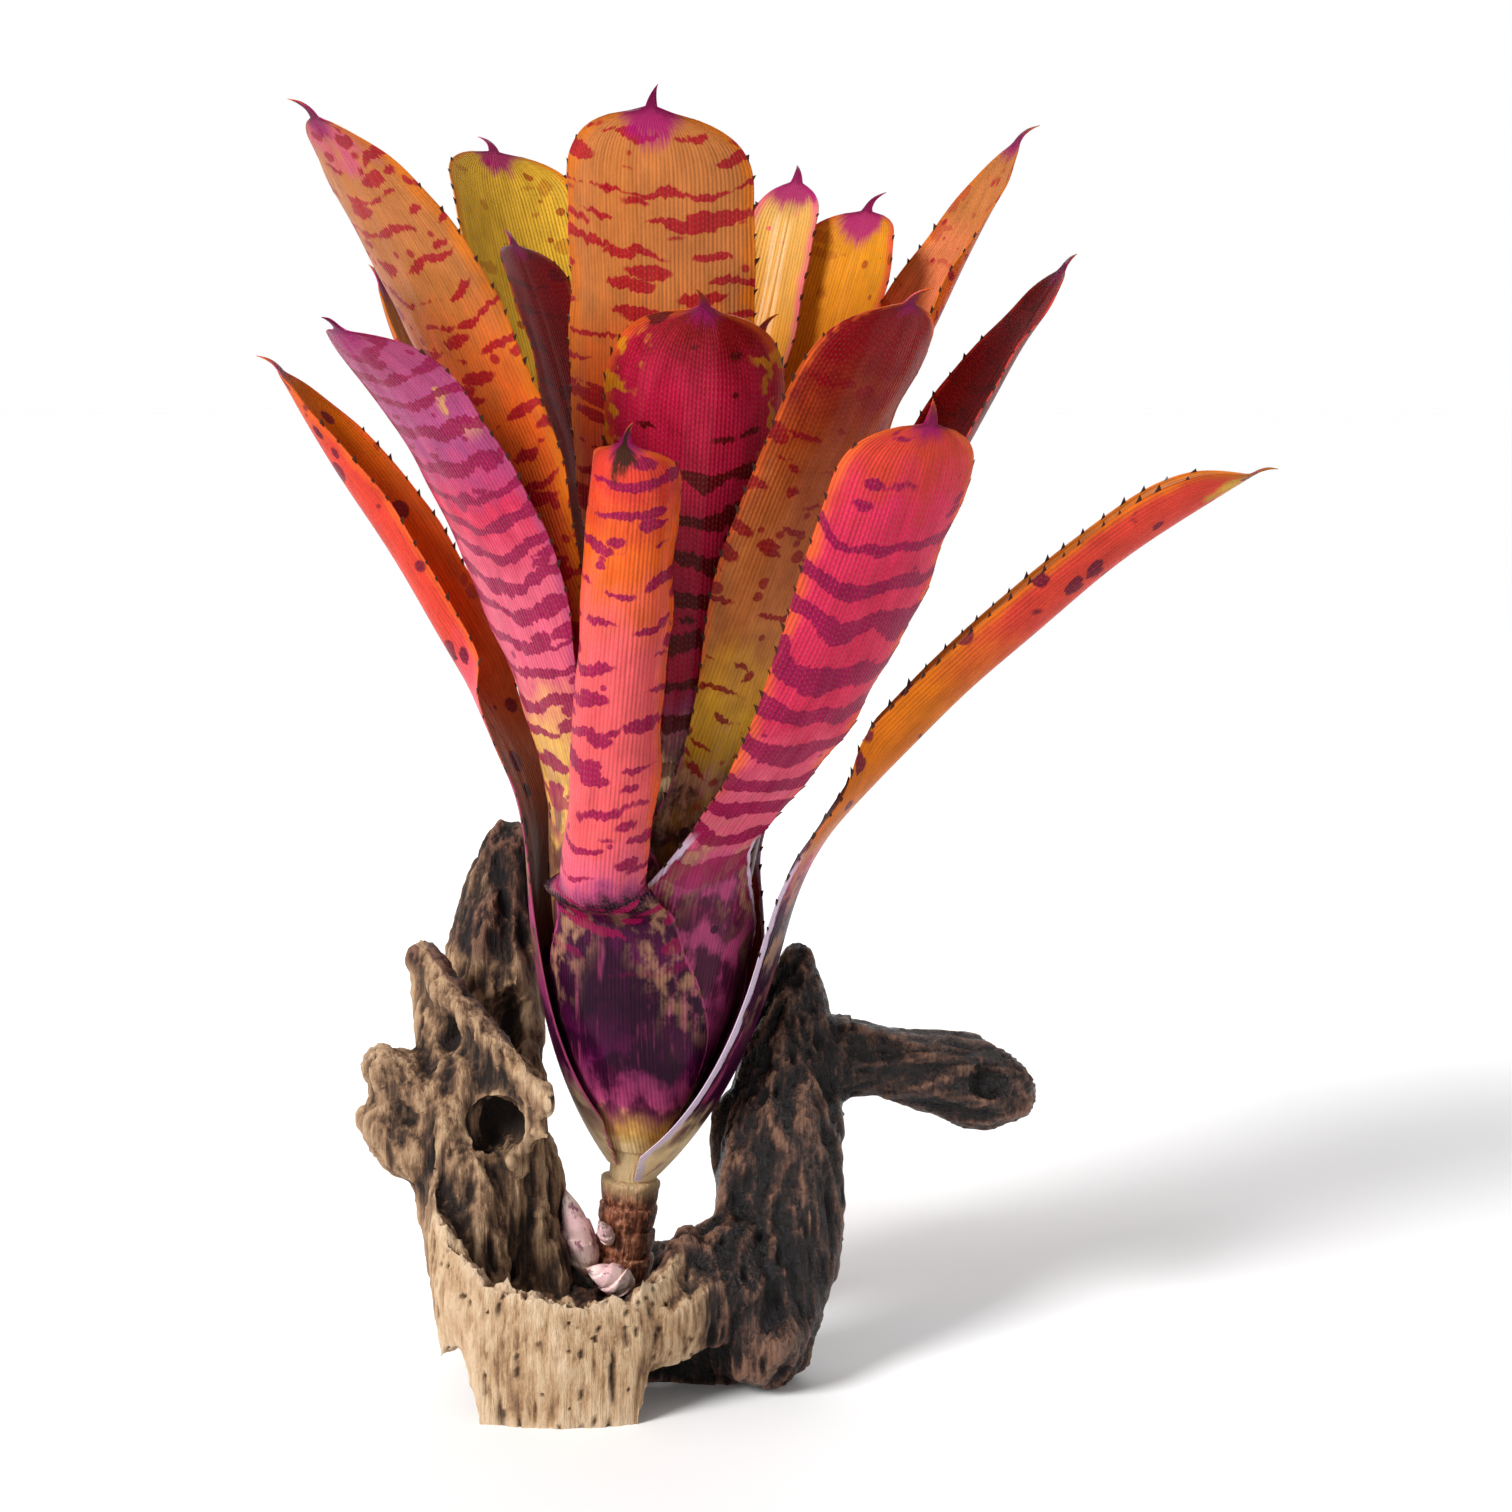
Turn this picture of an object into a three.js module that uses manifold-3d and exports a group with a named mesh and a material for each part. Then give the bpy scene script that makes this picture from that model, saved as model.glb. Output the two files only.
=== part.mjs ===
// A neoregelia on a piece of driftwood: a rosette of strap leaves whose sheaths nest in a
// vase, on a short stem that stands in a hollow stump with two offshoots beside it.
// Millimetres, +Z up. The origin is the middle of the flat underside of the stump's front foot.
import * as THREE from 'three';
import { mergeVertices } from 'three/addons/utils/BufferGeometryUtils.js';
import Module from 'manifold-3d';

const wasm = await Module();
wasm.setup();

// Where things stand
const FOOT = { x: -12, y: -38, z: 0 };        // middle of the foot's flat, seen from below the plant
const PLANT_BASE = { x: 2, y: 0, z: 45 };     // where the lowest leaves leave the stem
const PLANT_LEAN = 5;                         // degrees, to the right

// The stem
const CORE_RADIUS = 5.1;                      // inside the leaf bases
const CORE_TOP = 58;                          // above the plant's base
const CORE_TIP = 2;                           // height of its narrowing end
const STEM_SIDES = 14;
const STEM_RADIUS = 7.1;                      // below the leaf bases
const STEM_BOTTOM = -31;                      // from the plant's base
const STEM_TOP = -0.9;
const STEM_BEVEL = 0.4;
const CLEARANCE = 0.35;                       // between pieces that touch
const SCAR_PITCH = 6;                         // rings of old leaf scars
const SCAR_DEPTH = 0.5;

// The space kept clear round the stem and the vase, from the plant's base
const ROOM_FROM = 4;
const ROOM_TOP = 74;
const ROOM_PITCH = 7;
const ROOM_SIDES = 28;

// The vase that the sheaths make widens as VASE_FLARE (1 - exp(-height / VASE_RISE))
const VASE_FLARE = 30;
const VASE_RISE = 36;
const LAYER_PITCH = 1.3;                      // from one sheath to the next, along the radius
const LEAF_THICKNESS = 0.65;

// What every leaf shares
const MIDLINE_STEPS = 200;
const LEAF_COLUMNS = 6;
const SHEATH_WRAP = 1.3;                      // largest half width of a sheath, in radii
const SHEATH_ROWS = 5;
const SHEATH_SLACK = 1.08;                    // length of a sheath over its height
const TOOTH_PITCH = 11.5;                     // along the margin
const TOOTH_HEIGHT = 1.4;
const TOOTH_BASE = 1.8;
const TOOTHED_SHEATH = 20;                    // length of the sheath's upper end that has teeth
const TOOTHED_SHARE = 0.97;                   // of the blade's length
const SPINE_LENGTH = 6;
const SPINE_HALF_WIDTH = 1.5;
const SPINE_HOOK = 50;                        // degrees that the end spine bends outward
const KINK_LENGTH = 26;                       // of a blade's bend away from its sheath
const KINK_LEAD = 0.35;                       // share of that bend below the blade
const FREE_BELOW = 22;                        // the neck, where a leaf starts to leave the vase
const FREE_OVER = 34;                         // height over which it does so
const NARROW_BELOW = 42;                      // the neck, where a sheath starts to narrow
const NARROW_OVER = 46;
const DRIFT_OVER = 0.25;                      // share of the blade over which a side bend forms
const END_ROUNDNESS = 0.55;
const END_LONGEST = 0.25;                     // share of the blade with the end's closer rows
const END_ROWS = [0, 0.45, 0.75, 0.95];
const SPINE_RISE = 0.1;                       // share of the blade over which its spine widens
const SPINE_ROW = 0.4;

// What a leaf has unless its own line says otherwise. Angles are in degrees, shares are of the
// blade's length, and the waist is a share of its width.
const USUAL_LEAF = {
  lean: 20,                                   // of the blade, away from the plant's axis
  gain: 4,                                    // what the lean grows by to the end
  side: 0,                                    // bend to the blade's own left
  kink: 0,                                    // extra lean where the blade leaves its sheath
  sheath: 30,                                 // largest half width of the sheath
  channel: 24,                                // radius of the blade's cross-section
  roll: 0.5,                                  // share over which that radius forms
  waist: 0.8,
  wide: 0.45,                                 // share over which it widens from its waist
  taper: 0.4,                                 // share over which the end narrows
  blunt: 1.8,                                 // higher for a rounder end
};

// The leaves from the heart outward: each sheath wraps the ones before it. The neck is the
// height at which the blade leaves the vase, and width is half the blade's.
const LEAVES = [
  { name: 'leaf_heart', azimuth: -50, neck: 104, length: 87, width: 11, lean: 4, channel: 12,
    sheath: 16, taper: 0.5, blunt: 1.6 },
  { name: 'leaf_left_inner', azimuth: 152, neck: 104, length: 109, width: 14, lean: 11, gain: 20,
    side: -1.5, channel: 34, sheath: 16, taper: 0.12, blunt: 3.2 },
  { name: 'leaf_back_right_inner', azimuth: 63, neck: 104, length: 126, width: 9.5, lean: 7,
    gain: 16, side: 1.5, channel: 19, sheath: 21, taper: 0.12, blunt: 2.4 },
  { name: 'leaf_back_right', azimuth: 45, neck: 103, length: 121, width: 15.5, lean: 14.5, gain: 1,
    side: -1, channel: 36, sheath: 26, taper: 0.12, blunt: 3.2 },
  { name: 'leaf_centre_tall', azimuth: -105, neck: 104, length: 131, width: 22, lean: 3.5, gain: 3,
    side: -3.5, channel: 40, sheath: 21, waist: 0.65, wide: 0.6, taper: 0.13, blunt: 3 },
  { name: 'leaf_front_red', azimuth: -82, neck: 102, length: 98, width: 22, lean: 12, gain: 14,
    side: -4, taper: 0.28, blunt: 2.6 },
  { name: 'leaf_right_olive', azimuth: -52, neck: 97, length: 114, width: 17, gain: 11, side: -0.5,
    channel: 26, sheath: 27, waist: 0.6, taper: 0.25, blunt: 2.8 },
  { name: 'leaf_right_tall', azimuth: 22, neck: 100, length: 147, width: 18, lean: 15.5, gain: 9,
    side: -1, channel: 18, sheath: 27, waist: 0.55, taper: 0.46, blunt: 1.5 },
  { name: 'leaf_back_left', azimuth: 123, neck: 103, length: 147, width: 19, lean: 29, gain: 5,
    side: 0.5, channel: 32, sheath: 28, taper: 0.12, blunt: 2.6 },
  { name: 'leaf_left_tall', azimuth: -144, neck: 98, length: 149, width: 24, lean: 21.5, gain: 18,
    side: 2, channel: 41, sheath: 29, waist: 0.5, wide: 0.55, taper: 0.31, blunt: 2.1 },
  { name: 'leaf_right_crimson', azimuth: 20, neck: 94, length: 132, width: 16.5, lean: 26, gain: 2,
    channel: 21, taper: 0.41, blunt: 2 },
  { name: 'leaf_left_back', azimuth: 163, neck: 96, length: 111, width: 14, lean: 26.5, gain: 1,
    side: -1, channel: 18, sheath: 25, waist: 0.68, taper: 0.43, blunt: 1.9 },
  { name: 'leaf_left_mauve', azimuth: -143, neck: 92, length: 113, width: 22, lean: 20.5, gain: 26,
    side: -0.5, channel: 38, sheath: 27, waist: 0.5, wide: 0.55, taper: 0.2, blunt: 2.7 },
  { name: 'leaf_right_pink', azimuth: -64, neck: 84, length: 115, width: 16.5, lean: 54, gain: -45,
    side: 5, waist: 0.5, wide: 0.8, taper: 0.14, blunt: 2.7 },
  { name: 'leaf_front_rolled', azimuth: -109.5, neck: 66, length: 113, width: 15, lean: 9, gain: 0,
    side: 3.7, kink: 90, channel: 9.8, roll: 0.12, sheath: 31, waist: 0.95, taper: 0.1,
    blunt: 2.4 },
  { name: 'leaf_back', azimuth: 85, neck: 79, length: 110, width: 17, lean: 22, channel: 18 },
  { name: 'leaf_left_low', azimuth: 164, neck: 89, length: 108, width: 15.5, lean: 36, gain: 3,
    side: 1, channel: 10, roll: 0.25, sheath: 18, taper: 0.45, blunt: 1.7 },
  { name: 'leaf_back_low', azimuth: 68, neck: 76, length: 92, width: 17, lean: 27, channel: 16 },
  { name: 'leaf_right_low', azimuth: -6, neck: 78, length: 131, width: 16, lean: 33, gain: 20,
    channel: 11, roll: 0.25, sheath: 15, waist: 0.95, taper: 0.2, blunt: 2.2 },
].map((leaf) => ({ ...USUAL_LEAF, ...leaf }));

// The driftwood, measured from the ground under the plant. Each limb and hollow is a run of
// points with a radius: x, y, z, radius.
const WOOD_SIDES = 9;
const HOLLOW_SIDES = 8;
const HOLLOW_SEED = 20;                       // its swellings differ from the limbs' by this
const WOOD_RING_PITCH = 8.5;                  // between the rings of a limb
const LIMB_END = 0.6;                         // of the radius: how far the end stands out
const WOOD_LIMBS = [
  // left column, its knobs, the rim of the hollow behind it and the body under the rim
  [[-33, -20, 26, 9], [-34, -16, 38, 10], [-37, -11, 52, 11], [-39, -6, 66, 9.5], [-41, 0, 80, 6.5],
    [-44, 4, 93, 4]],
  [[-42, -6, 64, 9], [-50, -9, 69, 7.5], [-55, -10, 74, 5.5]],
  [[-42, -10, 53, 9], [-50, -11, 56, 8], [-55, -12, 62, 5.5]],
  [[-46, 4, 96, 3.5], [-38, -4, 87, 4.5], [-26, -12, 76, 5], [-15, -19, 67, 4]],
  [[-38, -6, 72, 8], [-30, -8, 66, 9], [-22, -12, 60, 9], [-17, -15, 54, 8]],
  // wall between the cup and the back
  [[-20, -4, 16, 12], [-23, -4, 34, 12], [-27, -5, 52, 11]],
  // lobe behind the plant
  [[-28, 8, 46, 12], [-32, 17, 70, 13], [-31, 24, 92, 12], [-29, 27, 108, 9.5], [-27, 28, 119, 6]],
  // root that runs low round the back
  [[-26, 6, 20, 13], [-18, 24, 12, 12], [-2, 36, 7, 9], [14, 38, 6, 9]],
  // floor of the cup and its right side
  [[-26, -10, 18, 10], [-8, -8, 9, 12], [8, -6, 8, 12], [26, -8, 11, 13]],
  [[2, -31, 16, 9], [12, -26, 20, 10], [22, -18, 25, 12], [30, -12, 30, 12]],
  // right trunk and its arm
  [[30, -16, 9, 13], [34, -9, 24, 15], [36, -2, 40, 15.5], [37, 3, 56, 15], [38, 7, 70, 12],
    [40, 10, 84, 8], [41, 12, 96, 3.5]],
  [[40, 9, 70, 10], [52, 12, 69, 9.5], [64, 13, 67, 8], [78, 13, 64, 11], [87, 13, 62, 10],
    [92, 12, 61, 7]],
];
// Swellings round a limb: how many, how far each ring turns them, and their height in radii
const WOOD_LUMPS = [[3, 0.9, 0.09], [5, 1.7, 0.06]];
const WOOD_HOLLOWS = [
  // the cup that the stem stands in, and its left end
  [[-5, -10, 76, 13], [-5, -14, 48, 15], [-4, -17, 33, 12]],
  [[-18, -22, 56, 6], [-19, -24, 44, 8], [-17, -25, 31, 7]],
  // round hollow in the left column, and the deep one behind the rim
  [[-29, -40, 66, 7], [-28, -24, 62, 8], [-27, -12, 60, 6]],
  [[-14, -4, 92, 9], [-26, 6, 80, 9], [-33, 8, 72, 7]],
  // end of the arm
  [[86, -8, 70, 6], [85, 5, 66, 4]],
];

// The front foot: a curved plate sawn flat at the ground, whose sections face its centre.
// x, y, bottom, rim.
const FOOT_CENTRE = new THREE.Vector2(-10, -6);
const FOOT_THICKNESS = 9;
const FOOT_NARROWING = 0.2;                   // share of it lost by half height, and again above
const FOOT_BELLY = 0.8;                       // how far the outside stands out at half height
const RIM_INSET = 1.5;
const RIM_SLOPE = 1;
const FOOT_PLATE = [
  [-43, -22, 28, 52], [-42, -28, 22, 46], [-39, -33, 13, 42], [-35, -36, 17, 37],
  [-30, -40, 0, 33], [-21, -42, 0, 31], [-12, -43, 0, 29], [-3, -42, 0, 28], [5, -40, 0, 29],
  [8, -37, 12, 31], [14, -31, 16, 34], [19, -23, 16, 40],
];

// The offshoots at the stem's foot: from, to, and largest radius
const OFFSHOOTS = [
  { name: 'offshoot_tall', from: [-7.5, -4.5, 21.5], to: [-13, -5.5, 43], radius: 4.2 },
  { name: 'offshoot_low', from: [3, -9, 20.5], to: [-8, -11.5, 26], radius: 3.8 },
  { name: 'offshoot_bud', from: [-2.5, -6, 30], to: [-5, -10.5, 37], radius: 2 },
];
const BUD_SIDES = 8;
// Along a bud, and the share of its radius there
const BUD_PROFILE = [[0.06, 0.5], [0.2, 0.86], [0.4, 1], [0.6, 0.86], [0.8, 0.5], [0.93, 0.2]];

const WELD = 1e-4;                            // distance at which points are one
const GROUND = { span: 400, depth: 40 };

// Materials
const LEAF = { color: 0xc8475a, roughness: 0.4, metalness: 0 };
const BARK = { color: 0x8a6440, roughness: 0.6, metalness: 0 };
const BUD = { color: 0xd8b8b0, roughness: 0.5, metalness: 0 };
const WOOD = { color: 0x6b5138, roughness: 0.7, metalness: 0 };

function piece(name, geometry, look) {
  const mesh = new THREE.Mesh(geometry, new THREE.MeshStandardMaterial(look));
  mesh.name = name;
  return mesh;
}

function radians(degrees) {
  return THREE.MathUtils.degToRad(degrees);
}

function clamped(x) {
  return Math.min(1, Math.max(0, x));
}

function smooth(x) {
  const t = clamped(x);
  return t * t * (3 - 2 * t);
}

function mix(a, b, t) {
  return a + (b - a) * t;
}

// A leaf's midline in its own plane (r outward, h up), with the slope, width and cross-section
// at each step. depth is how far its sheath lies inside the outermost one.
function midline(leaf, depth) {
  const start = CORE_RADIUS + CLEARANCE + LEAF_THICKNESS / 2;
  let h = -VASE_RISE * Math.log(1 - depth / VASE_FLARE);
  let r = start;
  let drift = 0;
  const blade = leaf.length + SPINE_LENGTH;
  const total = (leaf.neck - h) * SHEATH_SLACK + blade;
  const step = total / MIDLINE_STEPS;
  const samples = [];
  for (let i = 0; i <= MIDLINE_STEPS; i += 1) {
    const along = i * step - (total - blade);
    const t = clamped(along / leaf.length);
    const spine = Math.max(0, along - leaf.length) / SPINE_LENGTH;
    const wall = Math.atan((VASE_FLARE / VASE_RISE) * Math.exp(-h / VASE_RISE));
    const free = smooth((h - leaf.neck + FREE_BELOW) / FREE_OVER);
    const narrowing = smooth((h - leaf.neck + NARROW_BELOW) / NARROW_OVER);
    const kink = Math.sin(Math.PI * clamped(along / KINK_LENGTH + KINK_LEAD)) ** 2;
    const bent = leaf.lean + leaf.gain * t + leaf.kink * kink + SPINE_HOOK * spine;
    const angle = mix(wall, radians(bent), free);
    const bladeWidth = leaf.width * mix(leaf.waist, 1, smooth(t / leaf.wide));
    let width = mix(Math.min(r * SHEATH_WRAP, leaf.sheath), bladeWidth, narrowing);
    const end = (t - (1 - leaf.taper)) / leaf.taper;
    if (end > 0) {
      width *= (1 - Math.min(1, end ** leaf.blunt)) ** END_ROUNDNESS;
    }
    width = Math.max(width, SPINE_HALF_WIDTH * (1 - spine) * smooth((t - 1 + SPINE_RISE) / SPINE_RISE));
    const bend = mix(r, leaf.channel, smooth(t / leaf.roll));
    samples.push({ r, h, drift, angle, free, bend, width });
    r += Math.sin(angle) * step;
    h += Math.cos(angle) * step;
    drift += Math.sin(radians(leaf.side) * Math.min(1, t / DRIFT_OVER)) * step;
  }
  return { samples, step, total, blade };
}

// A point of the leaf: across is the distance from the midline, lift the height over the
// middle of the blade's thickness (outer side positive).
function leafPoint(sample, across, lift) {
  const { r, h, drift, angle, free, bend } = sample;
  const tilt = angle * free;
  const a = across / bend;
  const outward = bend * (Math.cos(a) - 1);
  const normal = {
    x: Math.cos(a) * Math.cos(angle),
    y: Math.sin(a) * mix(Math.cos(angle), 1, free),
    z: -Math.sin(angle) * mix(1, Math.cos(a), free),
  };
  return [
    r + outward * Math.cos(tilt) + lift * normal.x,
    drift + bend * Math.sin(a) + lift * normal.y,
    h - outward * Math.sin(tilt) + lift * normal.z,
  ];
}

function sampleAt(line, s) {
  const index = Math.min(line.samples.length - 1, Math.max(0, Math.round(s / line.step)));
  return line.samples[index];
}

// Where the rows of the mesh lie along the midline: even in the sheath, one a tooth in the
// blade, and closer together round the end.
function rowStations(line, leaf) {
  const { length, taper } = leaf;
  const sheath = line.total - line.blade;
  const rows = [];
  for (let i = 0; i < SHEATH_ROWS; i += 1) {
    rows.push((sheath * i) / SHEATH_ROWS);
  }
  const straight = length * (1 - Math.min(taper, END_LONGEST));
  const teeth = Math.round(straight / TOOTH_PITCH);
  for (let i = 0; i < teeth; i += 1) {
    rows.push(sheath + (straight * i) / teeth);
  }
  for (const share of END_ROWS) {
    rows.push(sheath + mix(straight, length, share));
  }
  rows.push(sheath + length + SPINE_LENGTH * SPINE_ROW);
  return rows;
}

// A leaf as one closed thin shell, with hooked teeth along its margins and a spine at its end
function leafGeometry(leaf, depth) {
  const line = midline(leaf, depth);
  const rows = rowStations(line, leaf);
  const sheath = line.total - line.blade;
  const toothed = sheath + leaf.length * TOOTHED_SHARE;
  const half = LEAF_THICKNESS / 2;
  const positions = [];
  const index = [];
  const add = (sample, across, lift) => {
    positions.push(...leafPoint(sample, across, lift));
    return positions.length / 3 - 1;
  };
  const face = (a, b, c, turned) => {
    index.push(...(turned ? [a, c, b] : [a, b, c]));
  };
  const grid = rows.map((s) => {
    const sample = sampleAt(line, s);
    const sides = { outer: [], inner: [] };
    for (let c = 0; c <= LEAF_COLUMNS; c += 1) {
      const across = sample.width * ((2 * c) / LEAF_COLUMNS - 1);
      sides.outer.push(add(sample, across, half));
      sides.inner.push(add(sample, across, -half));
    }
    return sides;
  });
  // Points of a margin between two rows: none, or a tooth that hooks towards the end
  const margin = (i, sign) => {
    if (rows[i] < sheath - TOOTHED_SHEATH || rows[i + 1] > toothed) {
      return [];
    }
    const low = sampleAt(line, rows[i + 1] - TOOTH_BASE);
    const tip = sampleAt(line, rows[i + 1] - TOOTH_BASE / 4);
    return [[low, low.width], [tip, tip.width + TOOTH_HEIGHT]].map(([sample, width]) => ({
      outer: add(sample, sign * width, half),
      inner: add(sample, sign * width, -half),
    }));
  };
  for (let i = 0; i < rows.length - 1; i += 1) {
    for (let c = 1; c < LEAF_COLUMNS - 1; c += 1) {
      for (const side of ['outer', 'inner']) {
        const low = grid[i][side];
        const high = grid[i + 1][side];
        face(low[c], low[c + 1], high[c + 1], side === 'inner');
        face(low[c], high[c + 1], high[c], side === 'inner');
      }
    }
    for (const sign of [-1, 1]) {
      const edge = sign < 0 ? 0 : LEAF_COLUMNS;
      const inside = sign < 0 ? 1 : LEAF_COLUMNS - 1;
      const ends = (row) => ({ outer: grid[row].outer[edge], inner: grid[row].inner[edge] });
      const run = [ends(i), ...margin(i, sign), ends(i + 1)];
      for (const side of ['outer', 'inner']) {
        const turned = (side === 'inner') !== (sign < 0);
        for (let k = 0; k < run.length - 1; k += 1) {
          face(grid[i][side][inside], run[k][side], run[k + 1][side], turned);
        }
        face(grid[i][side][inside], run[run.length - 1][side], grid[i + 1][side][inside], turned);
      }
      for (let k = 0; k < run.length - 1; k += 1) {
        face(run[k].outer, run[k].inner, run[k + 1].inner, sign < 0);
        face(run[k].outer, run[k + 1].inner, run[k + 1].outer, sign < 0);
      }
    }
  }
  const foot = grid[0];
  const last = grid[grid.length - 1];
  const apex = add(sampleAt(line, line.total), 0, 0);
  for (let c = 0; c < LEAF_COLUMNS; c += 1) {
    face(foot.outer[c], foot.inner[c + 1], foot.outer[c + 1], false);
    face(foot.outer[c], foot.inner[c], foot.inner[c + 1], false);
    face(last.outer[c], last.outer[c + 1], apex, false);
    face(last.inner[c], apex, last.inner[c + 1], false);
  }
  face(last.outer[0], apex, last.inner[0], false);
  face(last.outer[LEAF_COLUMNS], last.inner[LEAF_COLUMNS], apex, false);
  const geometry = new THREE.BufferGeometry();
  geometry.setAttribute('position', new THREE.Float32BufferAttribute(positions, 3));
  geometry.setIndex(index);
  return geometry;
}

function makeLeaf(leaf, layer) {
  const depth = (LEAVES.length - 1 - layer) * LAYER_PITCH;
  const mesh = piece(leaf.name, leafGeometry(leaf, depth), LEAF);
  mesh.rotation.z = radians(leaf.azimuth);
  return mesh;
}

// The stem: ringed by old leaf scars below the leaves, slim inside their bases
function stemProfile(clear) {
  const profile = [new THREE.Vector2(0, STEM_BOTTOM - clear)];
  for (let h = STEM_BOTTOM - clear; h < STEM_TOP - 2 * STEM_BEVEL; h += SCAR_PITCH / 2) {
    const swell = Math.round((h - STEM_BOTTOM) / (SCAR_PITCH / 2)) % 2 ? -SCAR_DEPTH : 0;
    profile.push(new THREE.Vector2(STEM_RADIUS + clear + (clear ? 0 : swell), h));
  }
  return profile;
}

function stemGeometry() {
  const profile = stemProfile(0);
  profile.push(new THREE.Vector2(STEM_RADIUS - STEM_BEVEL, STEM_TOP - STEM_BEVEL));
  profile.push(new THREE.Vector2(CORE_RADIUS, STEM_TOP));
  profile.push(new THREE.Vector2(CORE_RADIUS, CORE_TOP - CORE_TIP));
  profile.push(new THREE.Vector2(CORE_RADIUS / 2, CORE_TOP));
  profile.push(new THREE.Vector2(0, CORE_TOP));
  return new THREE.LatheGeometry(profile, STEM_SIDES);
}

// The room that the stem and the vase of sheaths take up, for cutting what stands next to them
function plantRoom(clear) {
  const profile = stemProfile(clear);
  profile.push(new THREE.Vector2(STEM_RADIUS + clear, 0));
  for (let h = ROOM_FROM; h <= ROOM_TOP; h += ROOM_PITCH) {
    const vase = VASE_FLARE * (1 - Math.exp(-h / VASE_RISE));
    profile.push(new THREE.Vector2(STEM_RADIUS + clear + vase, h));
  }
  profile.push(new THREE.Vector2(0, ROOM_TOP));
  return new THREE.LatheGeometry(profile, ROOM_SIDES);
}

// A bud: a spindle with a pointed end
function budGeometry({ from, to, radius }, clear) {
  const start = new THREE.Vector3(...from);
  const axis = new THREE.Vector3(...to).sub(start);
  const length = axis.length();
  const profile = [new THREE.Vector2(0, -clear)];
  for (const [t, share] of BUD_PROFILE) {
    profile.push(new THREE.Vector2(radius * share + clear, t * length));
  }
  profile.push(new THREE.Vector2(0, length + clear));
  const geometry = new THREE.LatheGeometry(profile, BUD_SIDES);
  geometry.rotateX(Math.PI / 2);
  const turn = new THREE.Quaternion().setFromUnitVectors(new THREE.Vector3(0, 0, 1), axis.normalize());
  return geometry.applyQuaternion(turn).translate(start.x, start.y, start.z);
}

// Closed three.js geometry to a solid, and back
function toSolid(geometry) {
  const bare = geometry.clone();
  bare.deleteAttribute('normal');
  bare.deleteAttribute('uv');
  const merged = mergeVertices(bare, WELD);
  const vertProperties = new Float32Array(merged.attributes.position.array);
  const triVerts = new Uint32Array(merged.index.array);
  return new wasm.Manifold(new wasm.Mesh({ numProp: 3, vertProperties, triVerts }));
}

function toGeometry(solid) {
  const mesh = solid.getMesh();
  const geometry = new THREE.BufferGeometry();
  geometry.setAttribute('position', new THREE.BufferAttribute(mesh.vertProperties, 3));
  geometry.setIndex(new THREE.BufferAttribute(mesh.triVerts, 1));
  return geometry;
}

// A closed tube through rings of points: each ring is a list of THREE.Vector3
function lofted(rings) {
  const sides = rings[0].length;
  const positions = rings.flat().flatMap((p) => [p.x, p.y, p.z]);
  const index = [];
  for (let i = 0; i < rings.length - 1; i += 1) {
    for (let k = 0; k < sides; k += 1) {
      const a = i * sides + k;
      const b = i * sides + ((k + 1) % sides);
      index.push(a, b, b + sides, a, b + sides, a + sides);
    }
  }
  const caps = [[0, -1], [rings.length - 1, 1]];
  for (const [ring, sign] of caps) {
    const centre = new THREE.Vector3();
    rings[ring].forEach((p) => centre.addScaledVector(p, 1 / sides));
    const middle = positions.length / 3;
    positions.push(centre.x, centre.y, centre.z);
    for (let k = 0; k < sides; k += 1) {
      const a = ring * sides + k;
      const b = ring * sides + ((k + 1) % sides);
      index.push(...(sign > 0 ? [a, b, middle] : [b, a, middle]));
    }
  }
  const geometry = new THREE.BufferGeometry();
  geometry.setAttribute('position', new THREE.Float32BufferAttribute(positions, 3));
  geometry.setIndex(index);
  return geometry;
}

// A limb of wood: a round tube with swellings, through points with a radius, and rounded ends
function limbGeometry(points, seed, sides) {
  const curve = new THREE.CatmullRomCurve3(points.map(([x, y, z]) => new THREE.Vector3(x, y, z)));
  const count = Math.max(2, Math.round(curve.getLength() / WOOD_RING_PITCH));
  const frames = curve.computeFrenetFrames(count, false);
  const ring = (centre, i, radius) => {
    const list = [];
    for (let k = 0; k < sides; k += 1) {
      const a = (2 * Math.PI * k) / sides;
      const swell = WOOD_LUMPS.map(([waves, turn, size]) => size * Math.sin(waves * a + turn * (i + seed)));
      const lumpy = radius * (1 + swell[0] + swell[1]);
      list.push(centre.clone()
        .addScaledVector(frames.normals[i], lumpy * Math.cos(a))
        .addScaledVector(frames.binormals[i], lumpy * Math.sin(a)));
    }
    return list;
  };
  const rings = [];
  for (let i = 0; i <= count; i += 1) {
    const t = i / count;
    const place = t * (points.length - 1);
    const k = Math.min(points.length - 2, Math.floor(place));
    const radius = mix(points[k][3], points[k + 1][3], smooth(place - k));
    const centre = curve.getPoint(t);
    const tip = radius * LIMB_END;
    const end = (sign) => ring(centre.clone().addScaledVector(frames.tangents[i], sign * tip), i, tip);
    if (i === 0) {
      rings.push(end(-1));
    }
    rings.push(ring(centre, i, radius));
    if (i === count) {
      rings.push(end(1));
    }
  }
  return lofted(rings);
}

// The front foot's plate: a section at each point of its outline, thick towards the cup
function footGeometry() {
  const rings = FOOT_PLATE.map(([x, y, bottom, rim]) => {
    const inward = FOOT_CENTRE.clone().sub(new THREE.Vector2(x, y)).normalize();
    const at = (depth, z) => new THREE.Vector3(x + inward.x * depth, y + inward.y * depth, z);
    const half = mix(bottom, rim, 0.5);
    const thickness = (steps) => FOOT_THICKNESS * (1 - steps * FOOT_NARROWING);
    return [at(0, bottom), at(thickness(0), bottom), at(thickness(1), half),
      at(thickness(2), rim - RIM_SLOPE), at(RIM_INSET, rim), at(-FOOT_BELLY, half)];
  });
  return lofted(rings);
}

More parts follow.
